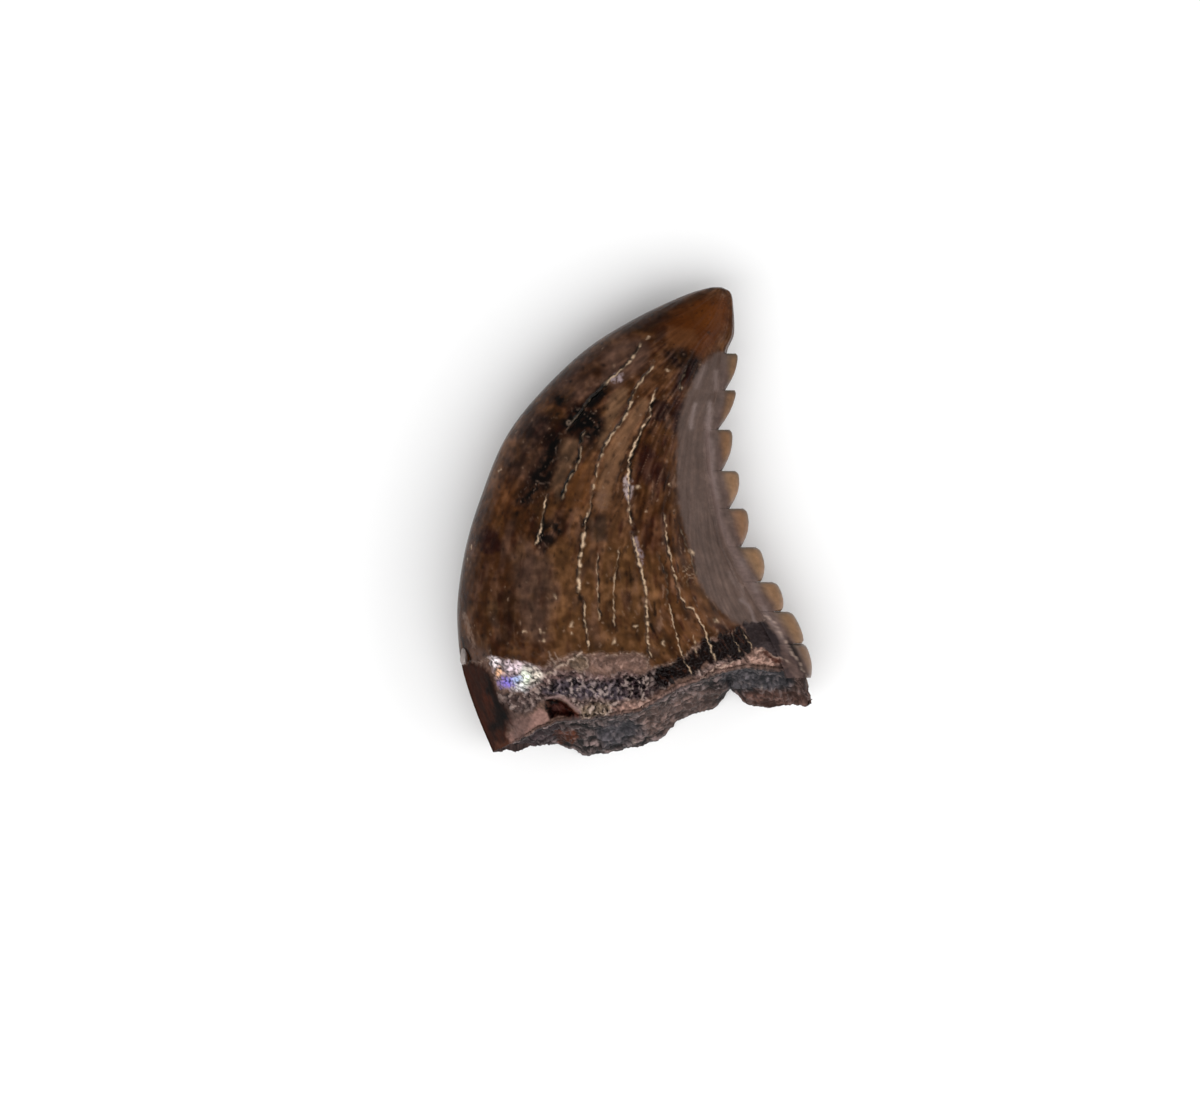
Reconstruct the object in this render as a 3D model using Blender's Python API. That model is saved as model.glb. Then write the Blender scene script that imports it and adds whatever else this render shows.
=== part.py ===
"""A small theropod tooth crown with a broken base, lying on its flatter side.

+X points to the toothed, concave edge and +Y to the tip. +Z is up, square to the side that shows.
The origin is at the centre of the footprint, on the surface that the tooth rests on.
Lengths below are in millimetres, measured from a middle plane through both edges of the crown.
"""

import bmesh
import bpy
import numpy as np
from mathutils import Vector, noise

MM = 0.001

# The crown seen square on: each edge as (x, y) points from the broken base to the tip.
BACK_EDGE = [
    (-1.58, -2.58), (-1.76, -2.15), (-1.91, -1.69), (-1.97, -1.28), (-1.97, -0.84), (-1.88, -0.28),
    (-1.72, 0.25), (-1.46, 0.89), (-1.10, 1.38), (-0.56, 1.90), (-0.03, 2.24), (0.51, 2.50),
    (0.82, 2.60), (0.97, 2.61),
]
TOOTHED_EDGE = [
    (1.98, -2.03), (1.95, -1.80), (1.82, -1.47), (1.59, -1.07), (1.37, -0.69), (1.17, -0.28),
    (1.05, 0.16), (0.97, 0.58), (0.93, 1.02), (1.01, 1.46), (1.03, 1.87), (1.11, 2.09),
    (1.10, 2.41), (1.07, 2.55), (0.97, 2.61),
]

# The broken base. Each pair is a share of the way from the back edge to the toothed edge, and how far
# the rim lies above the straight line between the two base corners.
NEAR_RIM = [
    (0.0, 0.0), (0.08, 0.10), (0.17, 0.22), (0.22, 0.25), (0.33, 0.23), (0.45, 0.22), (0.49, 0.27),
    (0.54, 0.36), (0.59, 0.42), (0.71, 0.51), (0.79, 0.53), (0.93, 0.41), (0.965, 0.23), (1.0, 0.0),
]
FAR_RIM = [
    (0.0, 0.0), (0.055, -0.01), (0.07, -0.05), (0.11, -0.01), (0.18, -0.01), (0.25, -0.11), (0.28, -0.20),
    (0.35, -0.22), (0.46, -0.19), (0.51, -0.17), (0.54, -0.12), (0.575, 0.02), (0.65, 0.08), (0.70, 0.10),
    (0.745, 0.29), (0.80, 0.08), (0.87, 0.01), (0.94, 0.02), (0.98, -0.04), (1.0, 0.0),
]
RIM_REACH = 0.30  # share of the crown's length over which the rim's shape fades out

# How far each side stands off the middle plane, as a share of its greatest height. Up to the first
# pair the side is one round bulge from the back edge.
NEAR_PROFILE = [
    (0.42, 1.0), (0.56, 0.955), (0.68, 0.86), (0.765, 0.745), (0.80, 0.67), (0.86, 0.52), (0.92, 0.405),
    (0.965, 0.34), (1.0, 0.0),
]
FAR_PROFILE = [(0.42, 1.0), (0.58, 0.97), (0.70, 0.86), (0.80, 0.66), (0.88, 0.46), (0.965, 0.28), (1.0, 0.0)]
BULGE_ROUNDNESS = (2.4, 0.55)  # powers of the round bulge behind the back edge
TIP_ROUNDNESS = (1.7, 0.70)  # powers of the way the crown thins to its tip
NEAR_HEIGHT = 0.85
FAR_HEIGHT = 0.86
FLAT_DEPTH = 0.57  # the far side is worn flat this far below the middle plane
BASE_TURN_IN = 0.34  # how much thinner the far side is at the break

# Marks on the near side.
FACET_EDGE = 0.10  # the back edge is broken to a flat facet, this share wide, next to the base
FACET_REACH = 0.22
ENAMEL_END = [  # where the enamel stops above the base, as (x, y)
    (-1.66, -1.55), (-1.00, -1.61), (-0.66, -1.46), (0.06, -1.46), (0.23, -1.57), (0.53, -1.48),
    (0.76, -1.32), (1.19, -1.21), (1.41, -1.12), (1.80, -1.05),
]
ENAMEL_STEP = 0.035
CHIP_CENTRE = (-0.81, -2.10)
CHIP_RADII = (0.26, 0.19)
CHIP_DEPTH = 0.16

# The stone that fills the broken base.
FILL_RECESS = 0.14
FILL_LUMP = 0.06
WALL_SHARE = 0.14  # share of the break, from the near rim, taken by the tooth's own wall

# Denticles: the notches between them up the toothed edge, and how far each one stands out from it.
NOTCH_Y = [1.87, 1.46, 1.02, 0.56, 0.14, -0.29, -0.68, -1.01, -1.37, -1.75]
DENTICLE_REACH = [0.125, 0.13, 0.157, 0.182, 0.192, 0.212, 0.215, 0.20, 0.14]
DENTICLE_HALF_THICKNESS = 0.13
DENTICLE_ROOT = 0.26  # how far each denticle reaches back into the crown
DENTICLE_GAP = 0.012
DENTICLE_FORM = [  # (share of the way down, share of the reach, share of the thickness)
    (0.0, 0.82, 0.60), (0.06, 0.98, 0.88), (0.17, 1.0, 1.0), (0.36, 0.92, 1.0), (0.56, 0.75, 0.95),
    (0.75, 0.48, 0.85), (0.90, 0.22, 0.62), (1.0, 0.03, 0.35),
]
DENTICLE_SIDES = 10

ROWS = 54
COLUMNS = 34
CAP_ROWS = 12

TOOTH_COLOR = (0.115, 0.058, 0.030, 1.0)
TOOTH_ROUGHNESS = 0.32


def clear_scene():
    for obj in list(bpy.data.objects):
        bpy.data.objects.remove(obj)


def smooth_step(low, high, x):
    t = np.clip((x - low) / (high - low), 0, 1)
    return t * t * (3 - 2 * t)


def curve_at(points, share):
    """Places at the given shares of the length of a smooth line through points (a Catmull-Rom spline)."""
    p = np.array(points, float)
    p = np.vstack([2 * p[0] - p[1], p, 2 * p[-1] - p[-2]])
    t = np.linspace(0, 1, 24, endpoint=False)[:, None]
    pieces = []
    for a, b, c, d in zip(p[:-3], p[1:-2], p[2:-1], p[3:]):
        pieces.append(0.5 * (2*b + (c - a)*t + (2*a - 5*b + 4*c - d)*t**2 + (3*b - a - 3*c + d)*t**3))
    line = np.vstack([*pieces, p[-2:-1]])
    length = np.concatenate([[0], np.cumsum(np.linalg.norm(np.diff(line, axis=0), axis=1))])
    wanted = share * length[-1]
    return np.stack([np.interp(wanted, length, column) for column in line.T], axis=-1)


def profile_at(knots, share):
    """Height at each share across the crown: a round bulge, then a smooth curve through the knots."""
    kx, ky = np.array(knots, float).T
    slope = np.diff(ky) / np.diff(kx)
    tangent = np.concatenate([[0], (slope[:-1] + slope[1:]) / 2, slope[-1:]])
    x = np.clip(share, kx[0], kx[-1])
    i = np.clip(np.searchsorted(kx, x, side="right") - 1, 0, len(slope) - 1)
    h = kx[i + 1] - kx[i]
    t = (x - kx[i]) / h
    curve = (
        ky[i] * (1 + 2 * t) * (1 - t)**2 + ky[i + 1] * t**2 * (3 - 2 * t)
        + tangent[i] * h * t * (1 - t)**2 - tangent[i + 1] * h * t**2 * (1 - t)
    )
    bulge = (1 - np.clip(1 - share / kx[0], 0, 1)**BULGE_ROUNDNESS[0])**BULGE_ROUNDNESS[1]
    return np.where(share < kx[0], bulge, curve)


def crown_plan(along, across, rim):
    """The grid of one side, seen square on. The lower rows bend to follow the broken rim."""
    back = curve_at(BACK_EDGE, along)[:, None, :]
    toothed = curve_at(TOOTHED_EDGE, along)[:, None, :]
    plan = back * (1 - across)[None, :, None] + toothed * across[None, :, None]
    fade = np.clip(1 - along / RIM_REACH, 0, None)**2
    rim_x, rim_y = np.array(rim).T
    plan[..., 1] += fade[:, None] * np.interp(across, rim_x, rim_y)[None, :]
    return plan


def taper(along):
    """The crown thins from its base to a round tip."""
    return (1 - along**TIP_ROUNDNESS[0])**TIP_ROUNDNESS[1]


def near_side(along, across):
    plan = crown_plan(along, across, NEAR_RIM)
    bulge = profile_at(NEAR_PROFILE, across)
    facet = np.minimum(bulge, across / FACET_EDGE * profile_at(NEAR_PROFILE, np.array([FACET_EDGE])))
    broken = 1 - smooth_step(0.6 * FACET_REACH, FACET_REACH, along)[:, None]
    height = NEAR_HEIGHT * taper(along)[:, None] * (bulge + broken * (facet - bulge))

    x, y = plan[..., 0], plan[..., 1]
    end_x, end_y = np.array(ENAMEL_END).T
    inside = (smooth_step(0.03, 0.14, across) * smooth_step(1.0, 0.95, across))[None, :]
    height -= inside * ENAMEL_STEP * smooth_step(-0.03, 0.03, np.interp(x, end_x, end_y) - y)
    chip = ((x - CHIP_CENTRE[0]) / CHIP_RADII[0])**2 + ((y - CHIP_CENTRE[1]) / CHIP_RADII[1])**2
    height -= inside * CHIP_DEPTH * np.clip(1 - chip, 0, 1)
    return np.dstack([plan, height])


def far_side(along, across):
    plan = crown_plan(along, across, FAR_RIM)
    turned_in = 1 - BASE_TURN_IN * np.clip(1 - along / RIM_REACH, 0, None)**1.5
    height = FAR_HEIGHT * (taper(along) * turned_in)[:, None] * profile_at(FAR_PROFILE, across)[None, :]
    return np.dstack([plan, -np.minimum(height, FLAT_DEPTH)])


def lump_at(point):
    return noise.noise(point * 3.1) + 0.5 * noise.noise(point * 7.3)


def broken_base(near_rim, far_rim):
    """The break, from the near rim to the far one: the tooth's own wall, then a lumpy sunken fill."""
    down = np.linspace(0, 1, CAP_ROWS)[:, None]
    grid = near_rim[None] * (1 - down)[..., None] + far_rim[None] * down[..., None]
    room = smooth_step(0.0, 0.5, np.abs(near_rim[:, 2] - far_rim[:, 2]))[None, :]
    sunken = smooth_step(0.5 * WALL_SHARE, 1.5 * WALL_SHARE, down) * (1 - smooth_step(0.7, 1.0, down))
    lumps = np.array([[lump_at(Vector(point)) for point in row] for row in grid])
    edge = np.sin(np.pi * down)
    grid[..., 1] += room * (FILL_RECESS * sunken + FILL_LUMP * lumps * edge)
    return grid


def add_grid(mesh, grid):
    """Faces over a grid of points. Points that meet the next grid are welded afterwards."""
    rows = [[mesh.verts.new(point) for point in row] for row in grid]
    for lower, upper in zip(rows[:-1], rows[1:]):
        for left in range(len(lower) - 1):
            mesh.faces.new((lower[left], lower[left + 1], upper[left + 1], upper[left]))


def make_object(name, mesh_builder):
    mesh = bpy.data.meshes.new(name)
    mesh_builder.to_mesh(mesh)
    mesh_builder.free()
    obj = bpy.data.objects.new(name, mesh)
    bpy.context.collection.objects.link(obj)
    return obj


def make_crown(shift):
    along = 1 - np.linspace(1, 0.06, ROWS)**1.15
    across = (1 - np.cos(np.pi * np.linspace(0, 1, COLUMNS))) / 2
    near = near_side(along, across)
    far = far_side(along, across)
    cap = broken_base(near[0], far[0])
    tip = np.append(curve_at(BACK_EDGE, np.array([1.0]))[0], 0.0)

    mesh = bmesh.new()
    for grid in (near, far, cap):
        add_grid(mesh, (grid + shift) * MM)
    point = mesh.verts.new((tip + shift) * MM)
    for grid in (near, far):
        ring = [mesh.verts.new((p + shift) * MM) for p in grid[-1]]
        for a, b in zip(ring[:-1], ring[1:]):
            mesh.faces.new((a, b, point))
    bmesh.ops.remove_doubles(mesh, verts=mesh.verts, dist=1e-7)
    bmesh.ops.dissolve_degenerate(mesh, edges=mesh.edges, dist=1e-7)
    bmesh.ops.triangulate(mesh, faces=mesh.faces)
    bmesh.ops.recalc_face_normals(mesh, faces=mesh.faces)
    return make_object("tooth", mesh)


def toothed_edge_x(y):
    line = curve_at(TOOTHED_EDGE, np.linspace(0, 1, 400))
    return np.interp(y, line[:, 1], line[:, 0])


def denticle_rings(index):
    """Oval rings down one denticle: flat on top and hooked to the tip, running out towards the base."""
    top = NOTCH_Y[index] - DENTICLE_GAP / 2
    bottom = NOTCH_Y[index + 1] + DENTICLE_GAP / 2
    turn = np.linspace(0, 2 * np.pi, DENTICLE_SIDES, endpoint=False)
    rings = []
    for down, reach, thickness in DENTICLE_FORM:
        y = top + (bottom - top) * down
        edge = np.interp(y, [bottom, top], toothed_edge_x(np.array([bottom, top])))
        outer = edge + DENTICLE_REACH[index] * reach
        inner = edge - DENTICLE_ROOT
        x = (inner + outer) / 2 + (outer - inner) / 2 * np.cos(turn)
        z = DENTICLE_HALF_THICKNESS * thickness * np.sin(turn)
        rings.append(np.stack([x, np.full_like(x, y), z], axis=1))
    return rings


def make_denticles(shift):
    mesh = bmesh.new()
    for index in range(len(DENTICLE_REACH)):
        rings = [[mesh.verts.new((p + shift) * MM) for p in ring] for ring in denticle_rings(index)]
        for upper, lower in zip(rings[:-1], rings[1:]):
            for side in range(DENTICLE_SIDES):
                after = (side + 1) % DENTICLE_SIDES
                mesh.faces.new((upper[side], lower[side], lower[after], upper[after]))
        mesh.faces.new(rings[0])
        mesh.faces.new(rings[-1])
    bmesh.ops.recalc_face_normals(mesh, faces=mesh.faces)
    denticles = make_object("denticles", mesh)
    denticles.hide_render = True
    denticles.display_type = "WIRE"
    return denticles


def footprint_shift():
    """Moves the middle of the footprint to the origin, with the worn flat at z = 0."""
    edges = np.vstack([curve_at(line, np.linspace(0, 1, 400)) for line in (BACK_EDGE, TOOTHED_EDGE)])
    rings = np.vstack([ring for index in range(len(DENTICLE_REACH)) for ring in denticle_rings(index)])
    across = np.linspace(0, 1, 200)
    base = crown_plan(np.array([0.0]), across, FAR_RIM)[0]
    flat = np.vstack([edges, rings[:, :2], base])
    middle = (flat.min(axis=0) + flat.max(axis=0)) / 2
    return np.array([-middle[0], -middle[1], FLAT_DEPTH])


def add_material(obj):
    material = bpy.data.materials.new("tooth")
    material.use_nodes = True
    surface = material.node_tree.nodes["Principled BSDF"]
    surface.inputs["Base Color"].default_value = TOOTH_COLOR
    surface.inputs["Roughness"].default_value = TOOTH_ROUGHNESS
    surface.inputs["Metallic"].default_value = 0.0
    obj.data.materials.append(material)


def build():
    clear_scene()
    shift = footprint_shift()
    tooth = make_crown(shift)
    denticles = make_denticles(shift)
    union = tooth.modifiers.new("denticles", "BOOLEAN")
    union.operation = "UNION"
    union.solver = "EXACT"
    union.object = denticles
    add_material(tooth)
    tooth.data.shade_smooth()


build()
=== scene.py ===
import math

import bmesh
import bpy
import numpy as np
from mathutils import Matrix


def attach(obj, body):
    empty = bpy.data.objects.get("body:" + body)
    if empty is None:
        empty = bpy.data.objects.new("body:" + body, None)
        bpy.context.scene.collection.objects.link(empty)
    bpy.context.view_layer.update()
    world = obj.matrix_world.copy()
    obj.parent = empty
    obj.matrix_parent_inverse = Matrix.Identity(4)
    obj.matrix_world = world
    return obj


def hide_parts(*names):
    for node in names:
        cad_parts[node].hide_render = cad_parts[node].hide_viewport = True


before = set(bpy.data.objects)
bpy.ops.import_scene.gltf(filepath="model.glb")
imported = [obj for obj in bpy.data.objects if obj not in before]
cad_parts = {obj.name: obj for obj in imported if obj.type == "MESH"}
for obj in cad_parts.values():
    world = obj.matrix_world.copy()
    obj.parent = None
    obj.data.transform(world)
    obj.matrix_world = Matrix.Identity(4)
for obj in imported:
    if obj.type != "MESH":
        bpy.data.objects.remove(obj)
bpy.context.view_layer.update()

# Lengths are in millimetres, as in part.py, and turn into metres when a mesh is made.
MM = 0.001

# The crown seen square on, with the same points as part.py.
BACK_EDGE = [
    (-1.58, -2.58), (-1.76, -2.15), (-1.91, -1.69), (-1.97, -1.28), (-1.97, -0.84), (-1.88, -0.28),
    (-1.72, 0.25), (-1.46, 0.89), (-1.10, 1.38), (-0.56, 1.90), (-0.03, 2.24), (0.51, 2.50),
    (0.82, 2.60), (0.97, 2.61),
]
TOOTHED_EDGE = [
    (1.98, -2.03), (1.95, -1.80), (1.82, -1.47), (1.59, -1.07), (1.37, -0.69), (1.17, -0.28),
    (1.05, 0.16), (0.97, 0.58), (0.93, 1.02), (1.01, 1.46), (1.03, 1.87), (1.11, 2.09),
    (1.10, 2.41), (1.07, 2.55), (0.97, 2.61),
]
NEAR_RIM = [
    (0.0, 0.0), (0.08, 0.10), (0.17, 0.22), (0.22, 0.25), (0.33, 0.23), (0.45, 0.22), (0.49, 0.27),
    (0.54, 0.36), (0.59, 0.42), (0.71, 0.51), (0.79, 0.53), (0.93, 0.41), (0.965, 0.23), (1.0, 0.0),
]
FAR_RIM = [
    (0.0, 0.0), (0.055, -0.01), (0.07, -0.05), (0.11, -0.01), (0.18, -0.01), (0.25, -0.11), (0.28, -0.20),
    (0.35, -0.22), (0.46, -0.19), (0.51, -0.17), (0.54, -0.12), (0.575, 0.02), (0.65, 0.08), (0.70, 0.10),
    (0.745, 0.29), (0.80, 0.08), (0.87, 0.01), (0.94, 0.02), (0.98, -0.04), (1.0, 0.0),
]
RIM_REACH = 0.30  # share of the crown's length over which the rim's shape fades out
NEAR_PROFILE = [
    (0.42, 1.0), (0.56, 0.955), (0.68, 0.86), (0.765, 0.745), (0.80, 0.67), (0.86, 0.52), (0.92, 0.405),
    (0.965, 0.34), (1.0, 0.0),
]
FAR_PROFILE = [(0.42, 1.0), (0.58, 0.97), (0.70, 0.86), (0.80, 0.66), (0.88, 0.46), (0.965, 0.28), (1.0, 0.0)]
BULGE_ROUNDNESS = (2.4, 0.55)  # powers of the round bulge next to the back edge
TIP_ROUNDNESS = (1.7, 0.70)  # powers of the way the crown thins to its tip
NEAR_HEIGHT = 0.85
FAR_HEIGHT = 0.86
FLAT_DEPTH = 0.57  # the far side is worn flat this far below the middle plane
RELIEF_TOP = 0.855  # no relief stands higher above the middle plane than this
BASE_TURN_IN = 0.34  # how much thinner the far side is at the break
FACET_EDGE = 0.10  # the back edge is broken to a flat facet, this share wide, next to the base
FACET_REACH = 0.22

# The ragged broken edges: the crown's width, the share at each end that stays smooth, and the height and
# fineness of each layer.
CROWN_WIDTH = 3.5
RAG_FADE = 0.03
RAG_LAYERS = [(0.016, 9), (0.010, 30)]

NOTCH_Y = [1.87, 1.46, 1.02, 0.56, 0.14, -0.29, -0.68, -1.01, -1.37, -1.75]
DENTICLE_REACH = [0.125, 0.13, 0.157, 0.182, 0.192, 0.212, 0.215, 0.20, 0.14]
DENTICLE_ROOT = 0.26  # how far each denticle reaches back into the crown
DENTICLE_GAP = 0.012
DENTICLE_FORM = [  # (share of the way down, share of the reach)
    (0.0, 0.82), (0.06, 0.98), (0.17, 1.0), (0.36, 0.92), (0.56, 0.75), (0.75, 0.48), (0.90, 0.22),
    (1.0, 0.03),
]

# The camera and the photograph: its frame in pixels, the pixel of the middle that the points above are
# measured from, and millimetres to a pixel.
PHOTO_SIZE = (1200, 1106)
MODEL_PIXEL = (634.5, 521.0)
MM_PER_PIXEL = 0.011159
CAMERA_DISTANCE = 120.0
SENSOR_WIDTH = 36.0

# Fineness of the crown's mesh: how many rows of points, and the spacing along them in millimetres. Beside a
# crack, within about CRACK_FINE_WIDTH pixels, the points are closer together.
BASE_ROWS = 92
CROWN_ROWS = 276
BASE_SHARE = 0.21
LAST_ROW = 0.992
BASE_SPACING = 0.0125
CROWN_SPACING = 0.0158
BREAK_SPACING = 0.034
FAR_ROWS = 78
FAR_SPACING = 0.055
CRACK_FINENESS = 1.5
CRACK_FINE_WIDTH = 2.2
ROW_SAMPLES = 500
EDGE_SAMPLES = 400
LENGTH_SPACING = 0.5  # coarse, for rows that only give a length


# Curves and the sides of the crown

def smooth_step(low, high, x):
    t = np.clip((x - low) / (high - low), 0, 1)
    return t * t * (3 - 2 * t)


def eased(count):
    """Shares from 0 to 1 that lie closer together near both ends."""
    return (1 - np.cos(math.pi * np.linspace(0, 1, count))) / 2


def curve_at(points, share):
    """Places at the given shares of the length of a smooth line through points (a Catmull-Rom spline)."""
    p = np.array(points, float)
    p = np.vstack([2 * p[0] - p[1], p, 2 * p[-1] - p[-2]])
    t = np.linspace(0, 1, 24, endpoint=False)[:, None]
    pieces = []
    for a, b, c, d in zip(p[:-3], p[1:-2], p[2:-1], p[3:]):
        pieces.append(0.5 * (2*b + (c - a)*t + (2*a - 5*b + 4*c - d)*t**2 + (3*b - a - 3*c + d)*t**3))
    line = np.vstack([*pieces, p[-2:-1]])
    length = np.concatenate([[0], np.cumsum(np.linalg.norm(np.diff(line, axis=0), axis=1))])
    wanted = share * length[-1]
    return np.stack([np.interp(wanted, length, column) for column in line.T], axis=-1)


def profile_at(knots, share):
    """Height at each share across the crown: a round bulge, then a smooth curve through the knots."""
    kx, ky = np.array(knots, float).T
    slope = np.diff(ky) / np.diff(kx)
    tangent = np.concatenate([[0], (slope[:-1] + slope[1:]) / 2, slope[-1:]])
    x = np.clip(share, kx[0], kx[-1])
    i = np.clip(np.searchsorted(kx, x, side="right") - 1, 0, len(slope) - 1)
    h = kx[i + 1] - kx[i]
    t = (x - kx[i]) / h
    curve = (
        ky[i] * (1 + 2 * t) * (1 - t)**2 + ky[i + 1] * t**2 * (3 - 2 * t)
        + tangent[i] * h * t * (1 - t)**2 - tangent[i + 1] * h * t**2 * (1 - t)
    )
    bulge = (1 - np.clip(1 - share / kx[0], 0, 1)**BULGE_ROUNDNESS[0])**BULGE_ROUNDNESS[1]
    return np.where(share < kx[0], bulge, curve)


def footprint_shift():
    """Moves the middle of the footprint to the origin, with the worn flat at z = 0, as in part.py."""
    edges = np.vstack([curve_at(line, np.linspace(0, 1, EDGE_SAMPLES)) for line in (BACK_EDGE, TOOTHED_EDGE)])
    tops = [denticle_outline(index, np.linspace(0, 1, 60)) for index in range(len(DENTICLE_REACH))]
    across = np.linspace(0, 1, 200)
    base = crown_plan(np.zeros(200), across, FAR_RIM)
    flat = np.vstack([edges, *tops, base])
    middle = (flat.min(axis=0) + flat.max(axis=0)) / 2
    return np.array([-middle[0], -middle[1], FLAT_DEPTH])


def crown_plan(along, across, rim, ragged=None):
    """Places seen square on. The lower part follows the rim, which is ragged if that has a seed."""
    back = curve_at(BACK_EDGE, along)
    toothed = curve_at(TOOTHED_EDGE, along)
    plan = back * (1 - across)[:, None] + toothed * across[:, None]
    fade = np.clip(1 - along / RIM_REACH, 0, None)**2
    rim_x, rim_y = np.array(rim).T
    plan[:, 1] += fade * np.interp(across, rim_x, rim_y)
    if ragged is not None and fade.max() > 0:
        edge = np.column_stack([across * CROWN_WIDTH, np.zeros_like(across), np.zeros_like(across)])
        inside = smooth_step(0, RAG_FADE, across) * smooth_step(1, 1 - RAG_FADE, across)
        rag = sum(height * fractal(edge * fine, ragged + k) for k, (height, fine) in enumerate(RAG_LAYERS))
        plan[:, 1] += fade**2 * inside * rag
    return plan


def taper(along):
    """The crown thins from its base to a round tip."""
    return (1 - along**TIP_ROUNDNESS[0])**TIP_ROUNDNESS[1]


def near_side(along, across):
    """Places on the side that the photograph shows."""
    plan = crown_plan(along, across, NEAR_RIM, ragged=11)
    bulge = profile_at(NEAR_PROFILE, across)
    facet_top = float(profile_at(NEAR_PROFILE, np.array([FACET_EDGE]))[0])
    facet = np.minimum(bulge, across / FACET_EDGE * facet_top)
    broken = 1 - smooth_step(0.6 * FACET_REACH, FACET_REACH, along)
    height = NEAR_HEIGHT * taper(along) * (bulge + broken * (facet - bulge))
    return np.column_stack([plan, height])


def far_side(along, across):
    """Places on the far side, flat where it is worn."""
    plan = crown_plan(along, across, FAR_RIM, ragged=21)
    turned_in = 1 - BASE_TURN_IN * np.clip(1 - along / RIM_REACH, 0, None)**1.5
    height = FAR_HEIGHT * taper(along) * turned_in * profile_at(FAR_PROFILE, across)
    return np.column_stack([plan, -np.minimum(height, FLAT_DEPTH)])


# Noise, the same on every run

DIRECTIONS = np.random.default_rng(5).normal(size=(64, 3))
DIRECTIONS /= np.linalg.norm(DIRECTIONS, axis=1)[:, None]


def hashed(cell, seed):
    """A random whole number for each cell of a grid."""
    h = cell[:, 0] * 374761393 + cell[:, 1] * 668265263 + cell[:, 2] * 1103515245 + seed * 69069
    h = h & 0xFFFFFFFF
    h = ((h ^ (h >> 13)) * 1274126177) & 0xFFFFFFFF
    return h ^ (h >> 16)


def noise(points, seed=0):
    """Gradient noise from about -1 to 1, with features about one unit across."""
    cell = np.floor(points).astype(np.int64)
    part = points - cell
    fade = part**3 * (part * (part * 6 - 15) + 10)
    total = np.zeros(len(points))
    for corner in np.ndindex(2, 2, 2):
        corner = np.array(corner)
        direction = DIRECTIONS[hashed(cell + corner, seed) & 63]
        weight = np.prod(np.where(corner, fade, 1 - fade), axis=1)
        total += weight * np.einsum("ij,ij->i", direction, part - corner)
    return total * 1.9


def fractal(points, seed=0, octaves=3):
    """Layers of noise, each about half as wide and half as strong as the one before."""
    total = np.zeros(len(points))
    for octave in range(octaves):
        total += noise(points * 2.03**octave + 17.3 * octave, seed + octave) / 2**octave
    return total / 1.4


def cells_around(x, y, seed):
    """The nine cells of a grid round each point, each with its random number."""
    home = np.column_stack([np.floor(x), np.floor(y), np.zeros_like(x)]).astype(np.int64)
    for step in np.ndindex(3, 3):
        cell = home + np.array([step[0] - 1, step[1] - 1, 0])
        yield cell, hashed(cell, seed)


def byte_share(code, shift=0):
    """Eight bits of a random number, as a share from 0 to 1."""
    return ((code >> shift) & 255) / 255


def cells(x, y, size, seed):
    """Random cells about one size across: how far the nearest border is, and a number for each cell."""
    x, y = x / size, y / size
    best = np.full(len(x), 9.0)
    second = np.full(len(x), 9.0)
    name = np.zeros(len(x), np.int64)
    for cell, code in cells_around(x, y, seed):
        centre_x = cell[:, 0] + byte_share(code)
        centre_y = cell[:, 1] + byte_share(code, 8)
        distance = np.hypot(x - centre_x, y - centre_y)
        nearer = distance < best
        second = np.where(nearer, best, np.minimum(second, distance))
        best = np.where(nearer, distance, best)
        name = np.where(nearer, code >> 16, name)
    return second - best, (name & 1023) / 1023


# Shapes drawn in the photograph's pixels

def photo_place(points):
    """Where the camera of this scene shows each point, in pixels of the photograph."""
    nearness = 1 / (1 - points[:, 2] / CAMERA_DISTANCE)
    off_x = MODEL_PIXEL[0] - PHOTO_SIZE[0] / 2
    off_y = MODEL_PIXEL[1] - PHOTO_SIZE[1] / 2
    x = PHOTO_SIZE[0] / 2 + (off_x + points[:, 0] / MM_PER_PIXEL) * nearness
    y = PHOTO_SIZE[1] / 2 + (off_y - points[:, 1] / MM_PER_PIXEL) * nearness
    return x, y


def line_distance(x, y, line):
    """Distance to a line of pixels, the side that a point is on (+1 or -1), and its share of the way."""
    line = np.array(line, float)
    lengths = np.linalg.norm(np.diff(line, axis=0), axis=1)
    starts = np.concatenate([[0], np.cumsum(lengths)])
    best = np.full(len(x), 1e9)
    side = np.ones(len(x))
    share = np.zeros(len(x))
    for (ax, ay), (bx, by), length, start in zip(line[:-1], line[1:], lengths, starts):
        ux, uy = (bx - ax) / length, (by - ay) / length
        t = np.clip((x - ax) * ux + (y - ay) * uy, 0, length)
        dx, dy = x - ax - ux * t, y - ay - uy * t
        distance = np.hypot(dx, dy)
        nearer = distance < best
        best = np.where(nearer, distance, best)
        side = np.where(nearer, np.where(uy * dx - ux * dy > 0, 1.0, -1.0), side)
        share = np.where(nearer, (start + t) / starts[-1], share)
    return best, side, share


def area_distance(x, y, outline):
    """Distance in pixels from an outline: above zero inside it, below zero outside."""
    closed = [*outline, outline[0]]
    distance, _, _ = line_distance(x, y, closed)
    inside = np.zeros(len(x), bool)
    for (ax, ay), (bx, by) in zip(closed[:-1], closed[1:]):
        crosses = (ay > y) != (by > y)
        reach = ax + (y - ay) * (bx - ax) / (by - ay if by != ay else 1e-9)
        inside ^= crosses & (x < reach)
    return np.where(inside, distance, -distance)


LIGHT_LEVEL = 1.1  # how much brighter than its own colour a surface shows
GLOSS_HAZE = 0.007  # what gloss adds to every colour
HAZE_FLOOR = 0.12  # the least share of a dark colour that is left when the haze is taken off


def albedo(red, green, blue):
    """The surface colour that shows as this screen colour under the scene's light and the gloss over it."""
    screen = np.array([red, green, blue]) / 255
    seen = np.where(screen <= 0.04045, screen / 12.92, ((screen + 0.055) / 1.055)**2.4)
    return np.maximum(seen - GLOSS_HAZE, HAZE_FLOOR * seen) / LIGHT_LEVEL


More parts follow.
